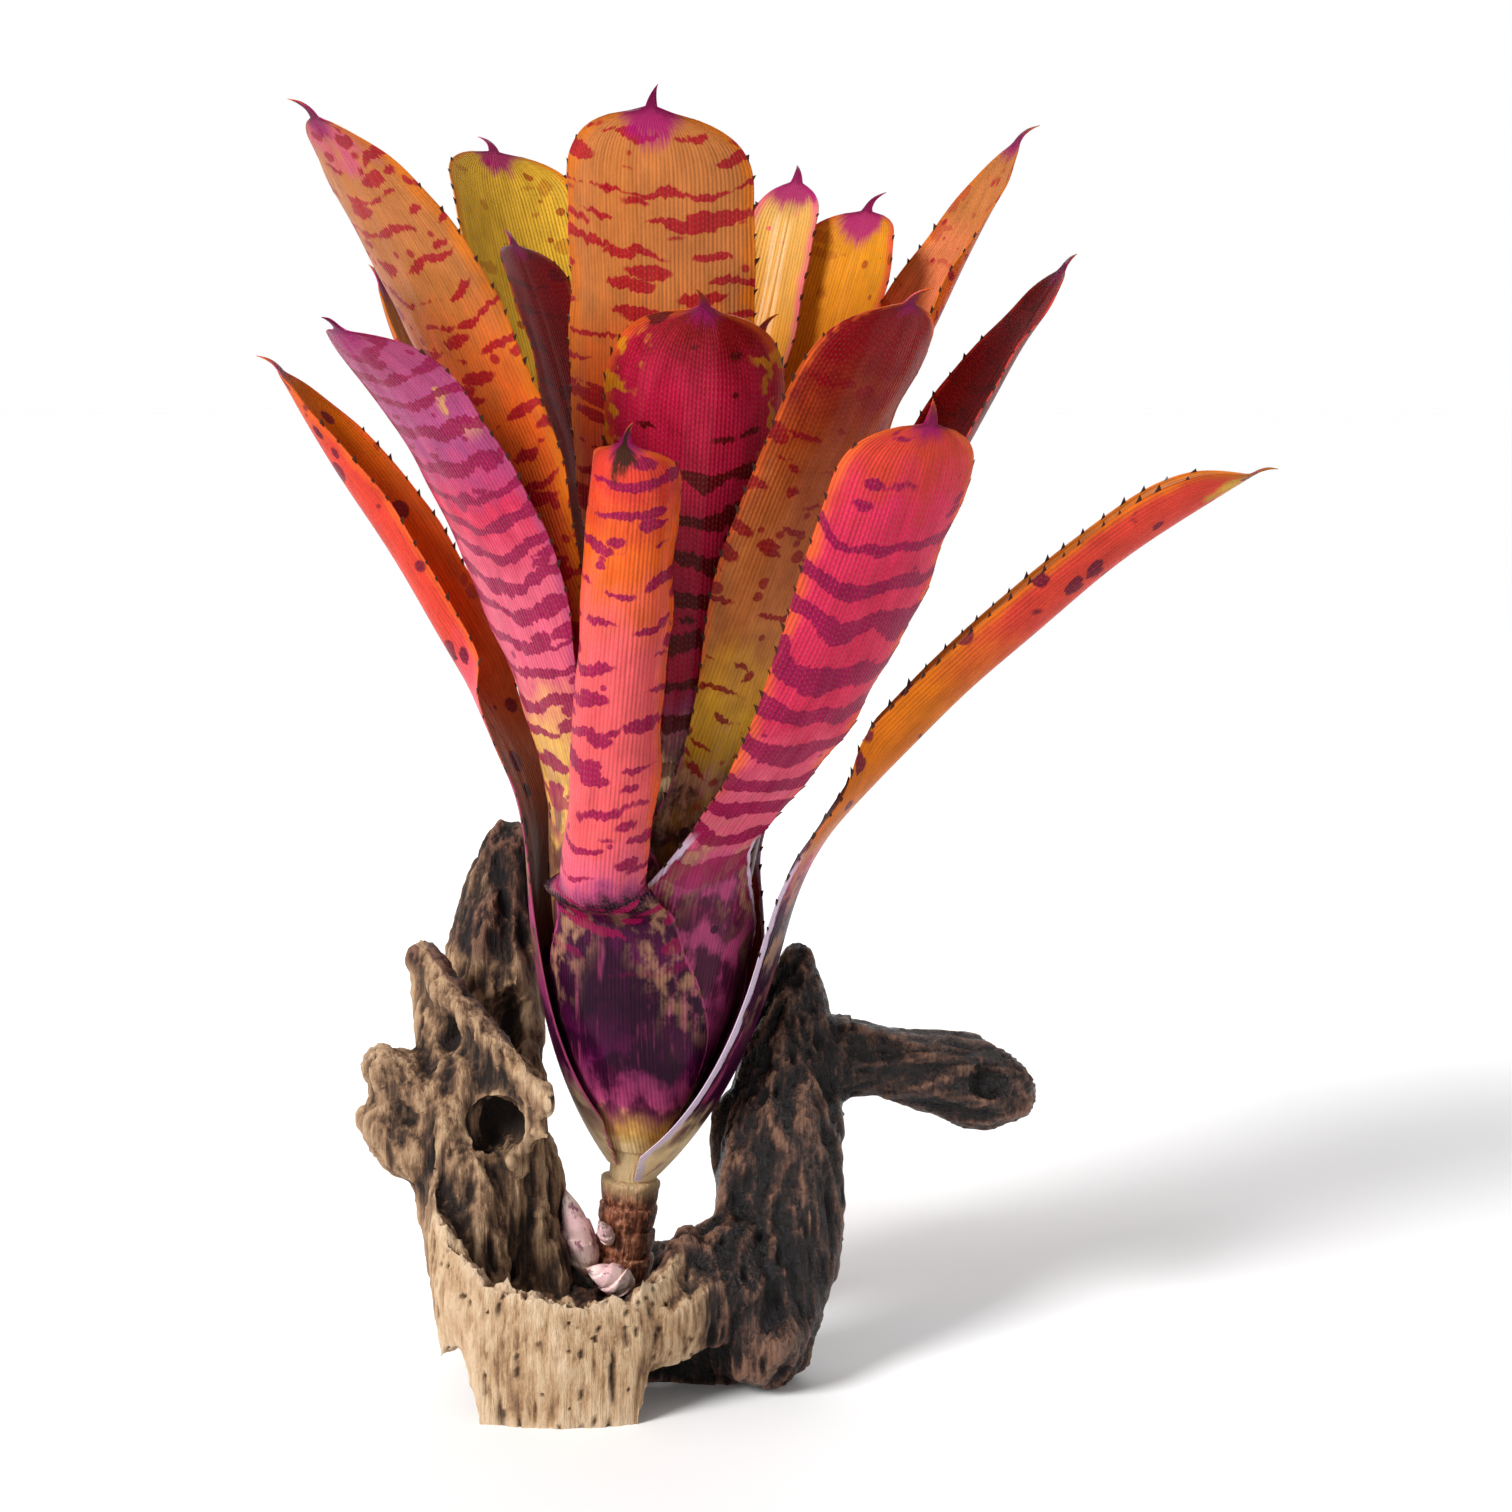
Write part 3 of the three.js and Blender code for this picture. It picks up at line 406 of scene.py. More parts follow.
class Graph:
    """A material's nodes, written as arithmetic."""

    def __init__(self, name, **surface):
        self.material = bpy.data.materials.new(name)
        self.material.use_nodes = True
        self.tree = self.material.node_tree
        self.shader = self.tree.nodes["Principled BSDF"]
        for key, value in surface.items():
            self.shader.inputs[key].default_value = value

    def node(self, kind, *values, **settings):
        """A new node, its first sockets fed with values."""
        made = self.tree.nodes.new("ShaderNode" + kind)
        for key, value in settings.items():
            setattr(made, key, value)
        for value, socket in zip(values, made.inputs):
            self.put(value, socket)
        return made

    def put(self, value, socket):
        """Feeds a socket with a number, a colour or another node's output."""
        if isinstance(value, bpy.types.NodeSocket):
            self.tree.links.new(value, socket)
        elif isinstance(value, tuple) and len(value) == 3 and socket.type == "RGBA":
            socket.default_value = (*value, 1)
        else:
            socket.default_value = value

    def calc(self, operation, *values):
        return self.node("Math", *values, operation=operation).outputs[0]

    def add(self, *values):
        total = values[0]
        for value in values[1:]:
            total = self.calc("ADD", total, value)
        return total

    def times(self, *values):
        total = values[0]
        for value in values[1:]:
            total = self.calc("MULTIPLY", total, value)
        return total

    def linear(self, x, slope, base):
        return self.calc("MULTIPLY_ADD", x, slope, base)

    def centred(self, x, size):
        """A 0..1 value as one of -size..size."""
        return self.linear(x, 2 * size, -size)

    def smooth(self, x, low, high):
        return self.node("MapRange", x, low, high, interpolation_type="SMOOTHSTEP").outputs[0]

    def vector(self, x, y, z):
        return self.node("CombineXYZ", x, y, z).outputs[0]

    def read(self, name):
        """The three numbers that the mesh stores under a name."""
        made = self.node("Attribute", attribute_name=name)
        return self.node("SeparateXYZ", made.outputs["Vector"]).outputs

    def noise(self, place, scales, detail=2, roughness=0.5):
        """Noise at a place of three values, each scaled by its own number."""
        scaled = [self.times(x, scale) if scale != 1 else x for x, scale in zip(place, scales)]
        made = self.node("TexNoise", self.vector(*scaled))
        self.put(1, made.inputs["Scale"])
        self.put(detail, made.inputs["Detail"])
        self.put(roughness, made.inputs["Roughness"])
        return made.outputs["Fac"]

    def cells(self, x, y, z):
        """Distance to the nearest cell's point, and a random number for that cell."""
        made = self.node("TexVoronoi", self.vector(x, y, z))
        self.put(1, made.inputs["Scale"])
        pick = self.node("SeparateColor", made.outputs["Color"]).outputs[0]
        return made.outputs["Distance"], pick

    def blend(self, share, a, b):
        made = self.node("Mix", data_type="RGBA")
        self.put(share, made.inputs["Factor"])
        self.put(a, made.inputs["A"])
        self.put(b, made.inputs["B"])
        return made.outputs["Result"]

    def scaled(self, colour, factor):
        made = self.node("VectorMath", colour, operation="SCALE")
        self.put(factor, made.inputs["Scale"])
        return made.outputs[0]

    def ramp(self, x, stops):
        made = self.node("ValToRGB")
        band = made.color_ramp
        for place, colour in stops[1:-1]:
            band.elements.new(place).color = (*colour, 1)
        for element, (place, colour) in ((band.elements[0], stops[0]), (band.elements[-1], stops[-1])):
            element.position = place
            element.color = (*colour, 1)
        self.put(x, made.inputs["Fac"])
        return made.outputs["Color"]

    def finish(self, colour, roughness):
        """The material, its shader fed with a colour and a roughness."""
        self.put(colour, self.shader.inputs["Base Color"])
        self.put(roughness, self.shader.inputs["Roughness"])
        return self.material

    def bump(self, height, relief):
        """Relief of so many millimetres that follows a height from 0 to 1."""
        made = self.node("Bump")
        self.put(relief * MM, made.inputs["Distance"])
        self.put(height, made.inputs["Height"])
        self.put(made.outputs["Normal"], self.shader.inputs["Normal"])


class LeafSkin(Graph):
    """What the layers of a leaf's skin share: its look, its measures and its noises."""

    def __init__(self, name, look, seed):
        super().__init__(name, **{"Specular IOR Level": 0.04, "Coat Weight": 0.14,
                                  "Coat Roughness": 0.15})
        self.look = look
        self.seed = seed
        self.across, self.along, self.margin = self.read("leaf_mm")
        self.place, self.side, self.share = self.read("leaf_share")
        self.to_end = self.read("leaf_end")[0]
        self.slow = self.grained(0.07, 0.05, 0, 1)
        self.mottle = self.grained(0.2, 0.12, 3, 4, 0.6)
        self.fibre = self.grained(1.3, 0.07, 5)
        self.streak = self.grained(0.4, 0.03, 9, 3, 0.6)
        self.comb = self.grained(0.9, 0.05, 2, 1)
        self.sheathed = self.smooth(self.add(self.place, self.mottled(0.12)), 0.06, -0.08)

    def grained(self, across, along, shift, detail=2, roughness=0.5):
        """Noise with so many waves a millimetre across the leaf and along it."""
        place = (self.across, self.along, self.seed + shift)
        return self.noise(place, (across, along, 1), detail, roughness)

    def mottled(self, size):
        return self.centred(self.mottle, size)

    def zone(self, low, high):
        """A share that goes from 0 to 1 between two places along the leaf."""
        return self.smooth(self.place, low, high)


def leaf_ground(g):
    """The colours along each face, the flush of the margins, and patches where a look has them."""
    look = g.look
    level = g.linear(g.add(g.place, g.centred(g.slow, 0.08), g.mottled(0.1)), 0.5, 0.5)
    inner, outer = [g.ramp(level, [((at + 1) / 2, colour) for at, colour in stops])
                    for stops in (INNER_FOOT + look["inner"], OUTER_FOOT + look["outer"])]
    colour = g.blend(g.side, inner, outer)
    flush, width = look["flush"]
    flushed = g.smooth(g.add(g.margin, g.mottled(0.8 * width)), width, 0.0)
    colour = g.blend(g.times(flushed, 0.8, g.zone(0.1, 0.25)), colour, flush)
    if "patches" not in look:
        return colour
    patch, low, high = look["patches"]
    where = g.times(g.zone(low, low + 0.08), g.zone(high, high - 0.06), g.smooth(g.margin, 9.0, 6.0))
    blot = g.smooth(g.grained(0.22, 0.16, 4), 0.53, 0.6)
    return g.blend(g.times(blot, where, 0.9), colour, patch)


def leaf_sheath(g, colour):
    """On the sheath: dark blotches and waves, mauve streaks, tan patches near the neck."""
    swell = g.calc("SINE", g.add(g.times(g.along, 0.3), g.centred(g.slow, 7.0)))
    wave = g.add(g.times(swell, 0.6), g.mottled(2.2), g.centred(g.comb, 0.35), g.centred(g.streak, 1.2))
    dusky = g.times(g.smooth(wave, -0.6, 0.5), g.zone(-0.9, -0.75), g.sheathed, g.side)
    colour = g.blend(g.times(dusky, 0.85), colour, PLUM)
    lit = g.times(g.smooth(g.streak, 0.52, 0.7), g.smooth(g.mottle, 0.4, 0.56), g.sheathed, g.side)
    colour = g.blend(g.times(lit, 0.75), colour, MAUVE)
    bared = g.times(g.smooth(g.mottle, 0.46, 0.62), g.zone(-0.6, -0.15), g.side,
                    g.zone(0.12, 0.02), g.smooth(g.margin, 17.0, 5.0))
    return g.blend(g.times(bared, 0.62), colour, SAND)


def leaf_bands(g, colour):
    """Bars and dashes, whose edges are combed by the ribs."""
    combed = g.add(g.along, g.centred(g.comb, 1.1), g.times(g.share, g.share, -3.0))
    pitch, height, broken = g.look["bars"]
    ripple = g.calc("SINE", g.add(g.times(combed, TURN / pitch), g.centred(g.slow, 4.0)))
    field = g.add(ripple, g.centred(g.grained(0.1, 0.12, 7, 1), 2 * broken), g.mottled(0.4),
                  g.times(g.zone(0.55, 0.95), -g.look.get("fade", 0.0)))
    bar = g.smooth(field, height, height + 0.16)
    wide, high, filled = g.look["dashes"]
    strip = g.times(g.add(g.across, g.centred(g.slow, 6.0)), 1 / wide)
    distance, pick = g.cells(strip, g.times(combed, 1 / high), g.seed)
    size = g.linear(g.smooth(pick, 1.0 - filled, 1.1 - 0.3 * filled), 0.22, 0.2)
    size = g.times(size, g.smooth(pick, 1.0 - filled - 0.01, 1.0 - filled))
    dash = g.smooth(g.add(distance, g.mottled(0.1)), g.add(size, 0.02), g.add(size, -0.05))
    shown = g.times(g.calc("MAXIMUM", bar, dash), g.zone(-0.3, 0.0), g.linear(g.side, 0.5, 0.45),
                    g.linear(g.fibre, 0.15, 0.9))
    return g.blend(shown, colour, g.look["band"])


def leaf_spots(g, colour):
    pitch, filled = g.look["spots"]
    distance, pick = g.cells(g.times(g.across, 1 / pitch), g.times(g.along, 1 / pitch), g.seed + 6)
    size = g.times(g.smooth(pick, 1.0 - filled, 1.05), 0.38)
    spot = g.smooth(g.add(distance, g.mottled(0.08)), size, g.add(size, -0.06))
    dark = g.blend(g.sheathed, g.look["band"], PLUM)
    return g.blend(g.times(spot, g.zone(-0.8, -0.5), 0.85), colour, dark)


def leaf_ribs(g, colour):
    """Ribs with rows of fine pale dots, and coarser light and dark fibres, in relief too."""
    rib = g.calc("SINE", g.times(g.across, TURN / RIB_PITCH))
    bead = g.calc("SINE", g.add(g.times(g.along, TURN / BEAD_PITCH), g.centred(g.comb, 9.0)))
    dots = g.times(g.smooth(rib, 0.1, 0.8), g.smooth(bead, 0.2, 0.9), g.smooth(g.sheathed, 0.9, 0.2))
    g.bump(g.add(g.times(rib, 0.35), g.fibre, g.times(dots, 0.5), g.times(g.mottle, 1.5)), LEAF_RELIEF)
    colour = g.blend(g.times(dots, 0.12), colour, STRAW)
    lined = g.add(g.centred(g.fibre, 0.5), g.times(rib, 0.15), g.mottled(0.7))
    return g.scaled(colour, g.linear(lined, -0.55, 1.0))


def leaf_rim(g, colour):
    """The sheath's pale margin."""
    width = g.look.get("rim", 0.7)
    strayed = g.add(g.margin, g.mottled(1.4), g.centred(g.comb, 0.8))
    shown = g.times(g.smooth(strayed, width, width - 0.5), g.zone(0.04, -0.02))
    return g.blend(g.times(shown, 0.85), colour, LILAC if "rim" in g.look else MAUVE)


def leaf_end(g, colour):
    """The purple patch at the end, the brown spine and teeth, and the dry end of a withered leaf."""
    tip = g.look["tip"]
    strayed = g.add(g.to_end, g.mottled(4.0), g.centred(g.fibre, 2.5))
    colour = g.blend(g.times(g.smooth(strayed, tip + 2.5, tip - 2.0), 0.92), colour, FUCHSIA)
    colour = g.blend(g.smooth(g.to_end, 0.5, -3.0), colour, BROWN)
    colour = g.blend(g.smooth(g.margin, 0.0, -0.5), colour, BROWN)
    if "withered" not in g.look:
        return colour
    dry = g.add(g.place, g.mottled(0.1), g.times(g.share, g.share, -0.4))
    return g.blend(g.times(g.smooth(dry, 0.93, 0.97), g.side), colour, BROWN)


def leaf_material(name, look, seed):
    g = LeafSkin(name, look, seed)
    colour = leaf_ground(g)
    for layer in (leaf_sheath, leaf_bands, leaf_spots, leaf_ribs, leaf_rim, leaf_end):
        colour = layer(g, colour)
    return g.finish(colour, g.linear(g.mottle, 0.3, 0.24))


def midline(leaf, depth):
    """A leaf's midline in its own plane, step by step, as in the part's source."""
    r = CORE_RADIUS + CLEARANCE + LEAF_THICKNESS / 2
    h = -VASE_RISE * math.log(1 - depth / VASE_FLARE)
    drift = 0.0
    blade = leaf["length"] + SPINE_LENGTH
    total = (leaf["neck"] - h) * SHEATH_SLACK + blade
    step = total / MIDLINE_STEPS
    keys = ("s", "r", "h", "drift", "angle", "free", "bend", "plain", "width", "t", "spine")
    line = {key: [] for key in keys}
    for i in range(MIDLINE_STEPS + 1):
        along = i * step - (total - blade)
        t = min(1, max(0, along / leaf["length"]))
        spine = max(0, along - leaf["length"]) / SPINE_LENGTH
        wall = math.atan((VASE_FLARE / VASE_RISE) * math.exp(-h / VASE_RISE))
        free = smooth((h - leaf["neck"] + FREE_BELOW) / FREE_OVER)
        narrowing = smooth((h - leaf["neck"] + NARROW_BELOW) / NARROW_OVER)
        kink = math.sin(math.pi * min(1, max(0, along / KINK_LENGTH + KINK_LEAD))) ** 2
        bent = leaf["lean"] + leaf["gain"] * t + leaf["kink"] * kink + SPINE_HOOK * spine
        angle = mix(wall, math.radians(bent), free)
        blade_width = leaf["width"] * mix(leaf["waist"], 1, smooth(t / leaf["wide"]))
        plain = mix(min(r * SHEATH_WRAP, leaf["sheath"]), blade_width, narrowing)
        width = plain
        end = (t - (1 - leaf["taper"])) / leaf["taper"]
        if end > 0:
            width *= (1 - min(1, end ** leaf["blunt"])) ** END_ROUNDNESS
        width = max(width, SPINE_HALF_WIDTH * (1 - spine) * smooth((t - 0.9) / 0.1))
        bend = mix(r, leaf["channel"], smooth(t / leaf["roll"]))
        for key, value in zip(keys, (along, r, h, drift, angle, free, bend, plain, width, t, spine)):
            line[key].append(value)
        r += math.sin(angle) * step
        h += math.cos(angle) * step
        drift += math.sin(math.radians(leaf["side"]) * min(1, 4 * t)) * step
    return {key: np.array(values, dtype=float) for key, values in line.items()}


def at(line, stations):
    """The midline's values at some distances along it, one row each."""
    return {key: np.interp(stations, line["s"], line[key])[:, None] for key in line}


def leaf_point(row, across, lift):
    """Points of a leaf, as in the part's source: across from the midline, lift over its middle."""
    tilt = row["angle"] * row["free"]
    a = across / row["bend"]
    outward = row["bend"] * (np.cos(a) - 1)
    normal = (
        np.cos(a) * np.cos(row["angle"]),
        np.sin(a) * mix(np.cos(row["angle"]), 1, row["free"]),
        -np.sin(row["angle"]) * mix(1, np.cos(a), row["free"]),
    )
    return np.stack([
        row["r"] + outward * np.cos(tilt) + lift * normal[0],
        row["drift"] + row["bend"] * np.sin(a) + lift * normal[1],
        row["h"] - outward * np.sin(tilt) + lift * normal[2],
    ], axis=-1)


def waves(row, share, seed):
    """How far a blade's surface strays from the plain form, in millimetres."""
    forms = BODY_WAVES + MARGIN_WAVES
    starts = np.random.RandomState(seed).uniform(0, TURN, len(forms))
    lifts = [height * np.sin(row["s"] / reach + slant * share + start)
             for (height, reach, slant), start in zip(forms, starts)]
    body = sum(lifts[:len(BODY_WAVES)])
    margin = np.abs(share) ** 3 * sum(lifts[len(BODY_WAVES):])
    crease = -CREASE_DEPTH * np.exp(-(share / CREASE_SHARE) ** 2)
    keep = row["free"] * (1 - row["spine"].clip(0, 1)) * smooth((1.02 - row["t"]) / 0.1)
    return (body + margin + crease) * keep


def leaf_half(row, share):
    """Half of a leaf's thickness, less at its margins and where it comes to a point."""
    body = HALF_THICKNESS - MARGIN_THINNING * np.abs(share) ** 5
    return np.minimum(body, POINT_HALF_THICKNESS + row["width"] * 0.4)


def add_teeth(leaf, line, seed, points, faces, notes):
    """Small hooked spines along both margins, each a closed spike set into the margin."""
    random = np.random.RandomState(seed)
    stop = leaf["length"] * (1 - 0.35 * leaf["taper"])
    for side in (-1, 1):
        s = -TOOTHED_SHEATH + random.uniform(0, TOOTH_PITCH)
        while s < stop:
            scale = random.uniform(0.6, 1.15)
            base = TOOTH_BASE * scale
            ring = at(line, np.array([s - base / 2, s + base / 2, s + base * 0.75]))
            edge = ring["width"] - np.array([[TOOTH_ROOT], [TOOTH_ROOT], [-TOOTH_HEIGHT * scale]])
            half = np.array([[TOOTH_HALF_THICKNESS], [TOOTH_HALF_THICKNESS], [0.0]])
            shift = waves(ring, np.full((3, 1), float(side)), seed)
            outer = leaf_point(ring, side * edge, shift + half)[:, 0]
            inner = leaf_point(ring, side * edge, shift - half)[:, 0]
            first = len(points)
            points.extend([outer[0], outer[1], inner[1], inner[0], outer[2]])
            for corner in [(0, 1, 4), (1, 2, 4), (2, 3, 4), (3, 0, 4), (3, 2, 1, 0)]:
                order = corner if side < 0 else corner[::-1]
                faces.append(tuple(first + k for k in order))
            place = s / leaf["length"] if s > 0 else -0.05
            to_end = leaf["length"] - s
            notes.extend([(side * ring["plain"][0, 0], s, -1.0, place, 0.5, side, to_end)] * 5)
            s += TOOTH_PITCH * random.uniform(0.75, 1.25)


def shell_faces(rows, columns):
    """Faces of a closed shell of two grids of points, the outer one and then the inner one."""
    faces = []
    inner = rows * columns
    for i in range(rows - 1):
        for c in range(columns - 1):
            a = i * columns + c
            b = a + columns
            faces.append((a, a + 1, b + 1, b))
            faces.append((inner + a, inner + b, inner + b + 1, inner + a + 1))
        a = i * columns
        b = a + columns
        faces.append((a, b, inner + b, inner + a))
        a += columns - 1
        b += columns - 1
        faces.append((a, inner + a, inner + b, b))
    for c in range(columns - 1):
        faces.append((c, inner + c, inner + c + 1, c + 1))
        last = (rows - 1) * columns + c
        faces.append((last, last + 1, inner + last + 1, inner + last))
    return faces


def leaf_piece(leaf, layer):
    """One leaf: its two faces from the midline, its teeth, and what its skin reads at each point."""
    depth = (len(LEAVES) - 1 - layer) * LAYER_PITCH
    line = midline(leaf, depth)
    start = line["s"][0]
    length = leaf["length"]
    ending = length * (1 - 0.5 * leaf["taper"])
    sheath_rows = max(6, round((FINE_FROM - start) / SHEATH_ROW_PITCH))
    stations = np.concatenate([
        np.linspace(start, FINE_FROM, sheath_rows, endpoint=False),
        np.linspace(FINE_FROM, ending, round((ending - FINE_FROM) / ROW_PITCH), endpoint=False),
        mix(ending, length, np.linspace(0, 1, END_ROWS) ** 0.6)[:-1],
        np.linspace(length, length + SPINE_LENGTH, SPINE_ROWS),
    ])
    row = at(line, stations)
    row["width"] = np.maximum(row["width"], LEAST_WIDTH)
    row["drift"] = row["drift"] + (-1) ** layer * SPINE_BEND * row["spine"].clip(0, 1) ** 2
    share = np.sin(np.linspace(-1, 1, LEAF_COLUMNS + 1) * COLUMN_CROWDING) / math.sin(COLUMN_CROWDING)
    share = np.tile(share, (len(stations), 1))
    across = share * row["width"]
    lift = waves(row, share, layer)
    half = leaf_half(row, share)
    grid = [leaf_point(row, across, lift + sign * half).reshape(-1, 3) for sign in (1, -1)]
    points = list(np.concatenate(grid))
    place = np.where(stations < 0, stations / -start, stations / length)[:, None]
    to_end = np.hypot(1.1 * across, length - stations[:, None])
    notes = []
    for facing in (1.0, 0.0):
        stack = np.stack(np.broadcast_arrays(
            share * row["plain"], stations[:, None], row["width"] - np.abs(across), place, facing,
            share, to_end), axis=-1)
        notes.extend(map(tuple, stack.reshape(-1, 7)))
    faces = shell_faces(*across.shape)
    add_teeth(leaf, line, layer, points, faces, notes)
    shape = placed(turned(np.array(points), leaf["azimuth"]))
    material = leaf_material(leaf["name"] + "_skin", LOOKS[leaf["look"]], 10.0 * layer)
    piece = new_piece(leaf["name"] + "_blade", shape, faces, leaf["name"], material)
    notes = np.array(notes)
    give(piece, "leaf_mm", notes[:, :3])
    give(piece, "leaf_share", notes[:, 3:6])
    give(piece, "leaf_end", np.repeat(notes[:, 6:], 3, axis=1))


def revolved(profile, sides, bend):
    """Points and faces of a closed turned form from (radius, height) pairs; bend places each point."""
    points = [bend(radius, height, TURN * k / sides) for radius, height in profile
              for k in range(sides)]
    faces = []
    for i in range(len(profile) - 1):
        for k in range(sides):
            a = i * sides + k
            b = i * sides + (k + 1) % sides
            faces.append((a, b, b + sides, a + sides))
    last = (len(profile) - 1) * sides
    faces.append(tuple(range(sides - 1, -1, -1)))
    faces.append(tuple(range(last, last + sides)))
    return np.array(points), faces


def stem_material():
    """Bark: fibrous and patchy brown, fading to cream where the leaves start."""
    g = Graph("stem_bark", **{"Specular IOR Level": 0.35})
    place = g.read("stem_mm")
    grain = g.noise(place, (0.5, 0.5, 0.5), 5, 0.6)
    lines = g.noise(place, (1.2, 1.2, 0.12), 3, 0.6)
    colour = g.ramp(g.add(g.times(grain, 0.6), g.times(lines, 0.5)), BARK)
    colour = g.blend(g.times(g.smooth(place[2], -6.0, 2.0), 0.8), colour, CREAM)
    g.bump(g.add(grain, lines), BARK_RELIEF)
    return g.finish(colour, 0.55)


def stem_piece():
    """The stem, with the papery rings that fallen leaves left, and its smooth core."""
    profile = [(0.5, STEM_BOTTOM)]
    h = STEM_BOTTOM + 0.01
    while h < BARK_TOP:
        ring = (h - STEM_BOTTOM) % BARK_RING_PITCH / BARK_RING_PITCH
        profile.append((STEM_RADIUS - BARK_RING_DEPTH * (1 - ring) ** 3 - 0.1, h))
        h += BARK_STEP
    core = CORE_RADIUS - 0.05
    profile.extend([(STEM_RADIUS - 0.6, -1.0), (core, -0.7), (core, CORE_TOP - 2),
                    (2.5, CORE_TOP - 0.2), (0.3, CORE_TOP)])

    def ragged(radius, height, a):
        if radius < CORE_RADIUS:
            return (radius * math.cos(a), radius * math.sin(a), height)
        spot = Vector((math.cos(a) * 2.2, math.sin(a) * 2.2, height / 3.2))
        drop = 0.5 * noise.noise(spot * 0.8 + Vector((7, 0, 0)))
        rough = radius + 0.35 * noise.turbulence(spot, 3, False) - 0.2
        return (rough * math.cos(a), rough * math.sin(a), height + drop)

    points, faces = revolved(profile, BARK_SIDES, ragged)
    piece = new_piece("stem_bark", placed(points), faces, "stem", stem_material())
    give(piece, "stem_mm", points)


def offshoot_material(seed):
    """Scales: pink and cream, with purple blotches and fine veins."""
    g = Graph("offshoot_scales", **{"Specular IOR Level": 0.3, "Coat Weight": 0.2})
    x, y, z = g.read("bud_share")
    blotch = g.noise((x, y, g.add(g.times(z, 4.0), seed)), (2.2, 2.2, 1), 3, 0.6)
    lines = g.noise((x, y, z), (9.0, 9.0, 1.5))
    marked = g.times(g.smooth(blotch, 0.52, 0.62), g.smooth(z, 0.2, 0.45))
    colour = g.blend(g.times(marked, 0.85), g.ramp(z, BUD), BUD_BLOTCH)
    colour = g.blend(g.times(g.smooth(lines, 0.55, 0.75), 0.5), colour, BUD_VEIN)
    g.bump(lines, SCALE_RELIEF)
    return g.finish(colour, 0.42)


def offshoot_piece(bud, seed):
    """A young offshoot: a pointed bud of overlapping scales."""
    start = np.array(bud["start"], dtype=float)
    axis = np.array(bud["end"]) - start
    length = np.linalg.norm(axis)
    places, shares = zip(*OFFSHOOT_OUTLINE)
    profile = [(float(np.interp(t, places, shares)), t) for t in np.linspace(0, 1, OFFSHOOT_ROWS)]

    def scaled(radius, t, a):
        step = (a / TURN * 2 + t * SCALE_TURNS) % 1
        shell = 1 - SCALE_LIP * (1 - step) ** 2 * min(1, 5 * t)
        r = radius * bud["radius"] * shell
        return (r * math.cos(a), r * math.sin(a), t * length)

    points, faces = revolved(profile, OFFSHOOT_SIDES, scaled)
    share = points / np.array([bud["radius"], bud["radius"], length])
    turn = Vector((0, 0, 1)).rotation_difference(Vector(axis.tolist())).to_matrix()
    shape = points @ np.array(turn).T + start - np.array(FOOT)
    piece = new_piece(bud["name"] + "_scales", shape, faces, bud["name"],
                      offshoot_material(seed))
    give(piece, "bud_share", share)


def wood_material():
    """Driftwood: fibrous and pale where it was sawn, dark, worn and torn elsewhere, with painted shade in
    its hollows and painted light on its ridges.
    """
    g = Graph("weathered_wood", **{"Specular IOR Level": 0.32})
    # relief brings the worn tone with painted shade in hollows and painted light on ridges; pale brings
    # painted shade on the inside of the cup
    relief, pale, gloss = g.read("wood_tone")
    crack = g.read("wood_crack")[0]
    place = g.read("wood_mm")
    fibre = g.noise(place, (1.1, 1.1, 0.06), 4, 0.65)
    patch = g.noise(place, (0.05, 0.05, 0.035), 4, 0.65)
    torn = g.noise(place, (0.3, 0.3, 0.1), 4, 0.7)
    fine = g.noise(place, (1.1, 1.1, 0.8), 5, 0.7)
    # worn holds the painted shade and painted light from relief as well as the wood's own wear
    worn = g.add(relief, g.centred(fibre, 0.3), g.centred(torn, 0.42), g.centred(fine, 0.14))
    dark, middle, light = [g.ramp(worn, stops) for stops in (DARK_WOOD, MIDDLE_WOOD, LIGHT_WOOD)]
    tint = g.add(pale, g.centred(patch, 0.3))
    colour = g.blend(g.smooth(tint, 0.14, 0.36), dark, middle)
    colour = g.blend(g.smooth(tint, 0.55, 0.85), colour, light)
    colour = g.blend(g.times(crack, 0.85), colour, CRACK_COLOUR)
    g.bump(g.add(fibre, g.times(fine, 0.6), g.times(torn, 0.6)), WOOD_RELIEF)
    return g.finish(colour, g.add(0.74, g.times(gloss, -0.48), g.centred(fine, 0.14)))


def remeshed(mesh, voxel):
    """A mesh rebuilt from voxels of a size in millimetres."""
    rough = bpy.data.objects.new("rough", mesh.copy())
    bpy.context.scene.collection.objects.link(rough)
    remesh = rough.modifiers.new("remesh", "REMESH")
    remesh.mode = "VOXEL"
    remesh.voxel_size = voxel * MM
    shaped = bpy.data.meshes.new_from_object(rough.evaluated_get(bpy.context.evaluated_depsgraph_get()))
    bpy.data.objects.remove(rough)
    return shaped


def column(items, name, width, kind=float):
    """One property of all points or edges of a mesh, a row for each."""
    values = np.empty(len(items) * width, dtype=kind)
    items.foreach_get(name, values)
    return values.reshape(-1, width)


def neighbour_means(points, edges):
    """For each point, the middle of the points that edges join it to."""
    ends = np.concatenate([edges, edges[:, ::-1]])
    count = np.bincount(ends[:, 0], minlength=len(points))[:, None]
    sums = [np.bincount(ends[:, 0], points[ends[:, 1], k], len(points)) for k in range(3)]
    return np.stack(sums, axis=-1) / count


def relaxed(points, edges, rounds):
    """Points moved towards the middle of their neighbours, and nearly as far out again."""
    for step in (0.6, -0.58) * rounds:
        points = mix(points, neighbour_means(points, edges), step)
    return points


def hollowness(points, edges, normals, rounds):
    """How far each point lies in a hollow, below zero on a ridge, in mm."""
    calm = points
    for _ in range(rounds):
        calm = mix(calm, neighbour_means(calm, edges), 0.8)
    return ((calm - points) * normals).sum(axis=1)


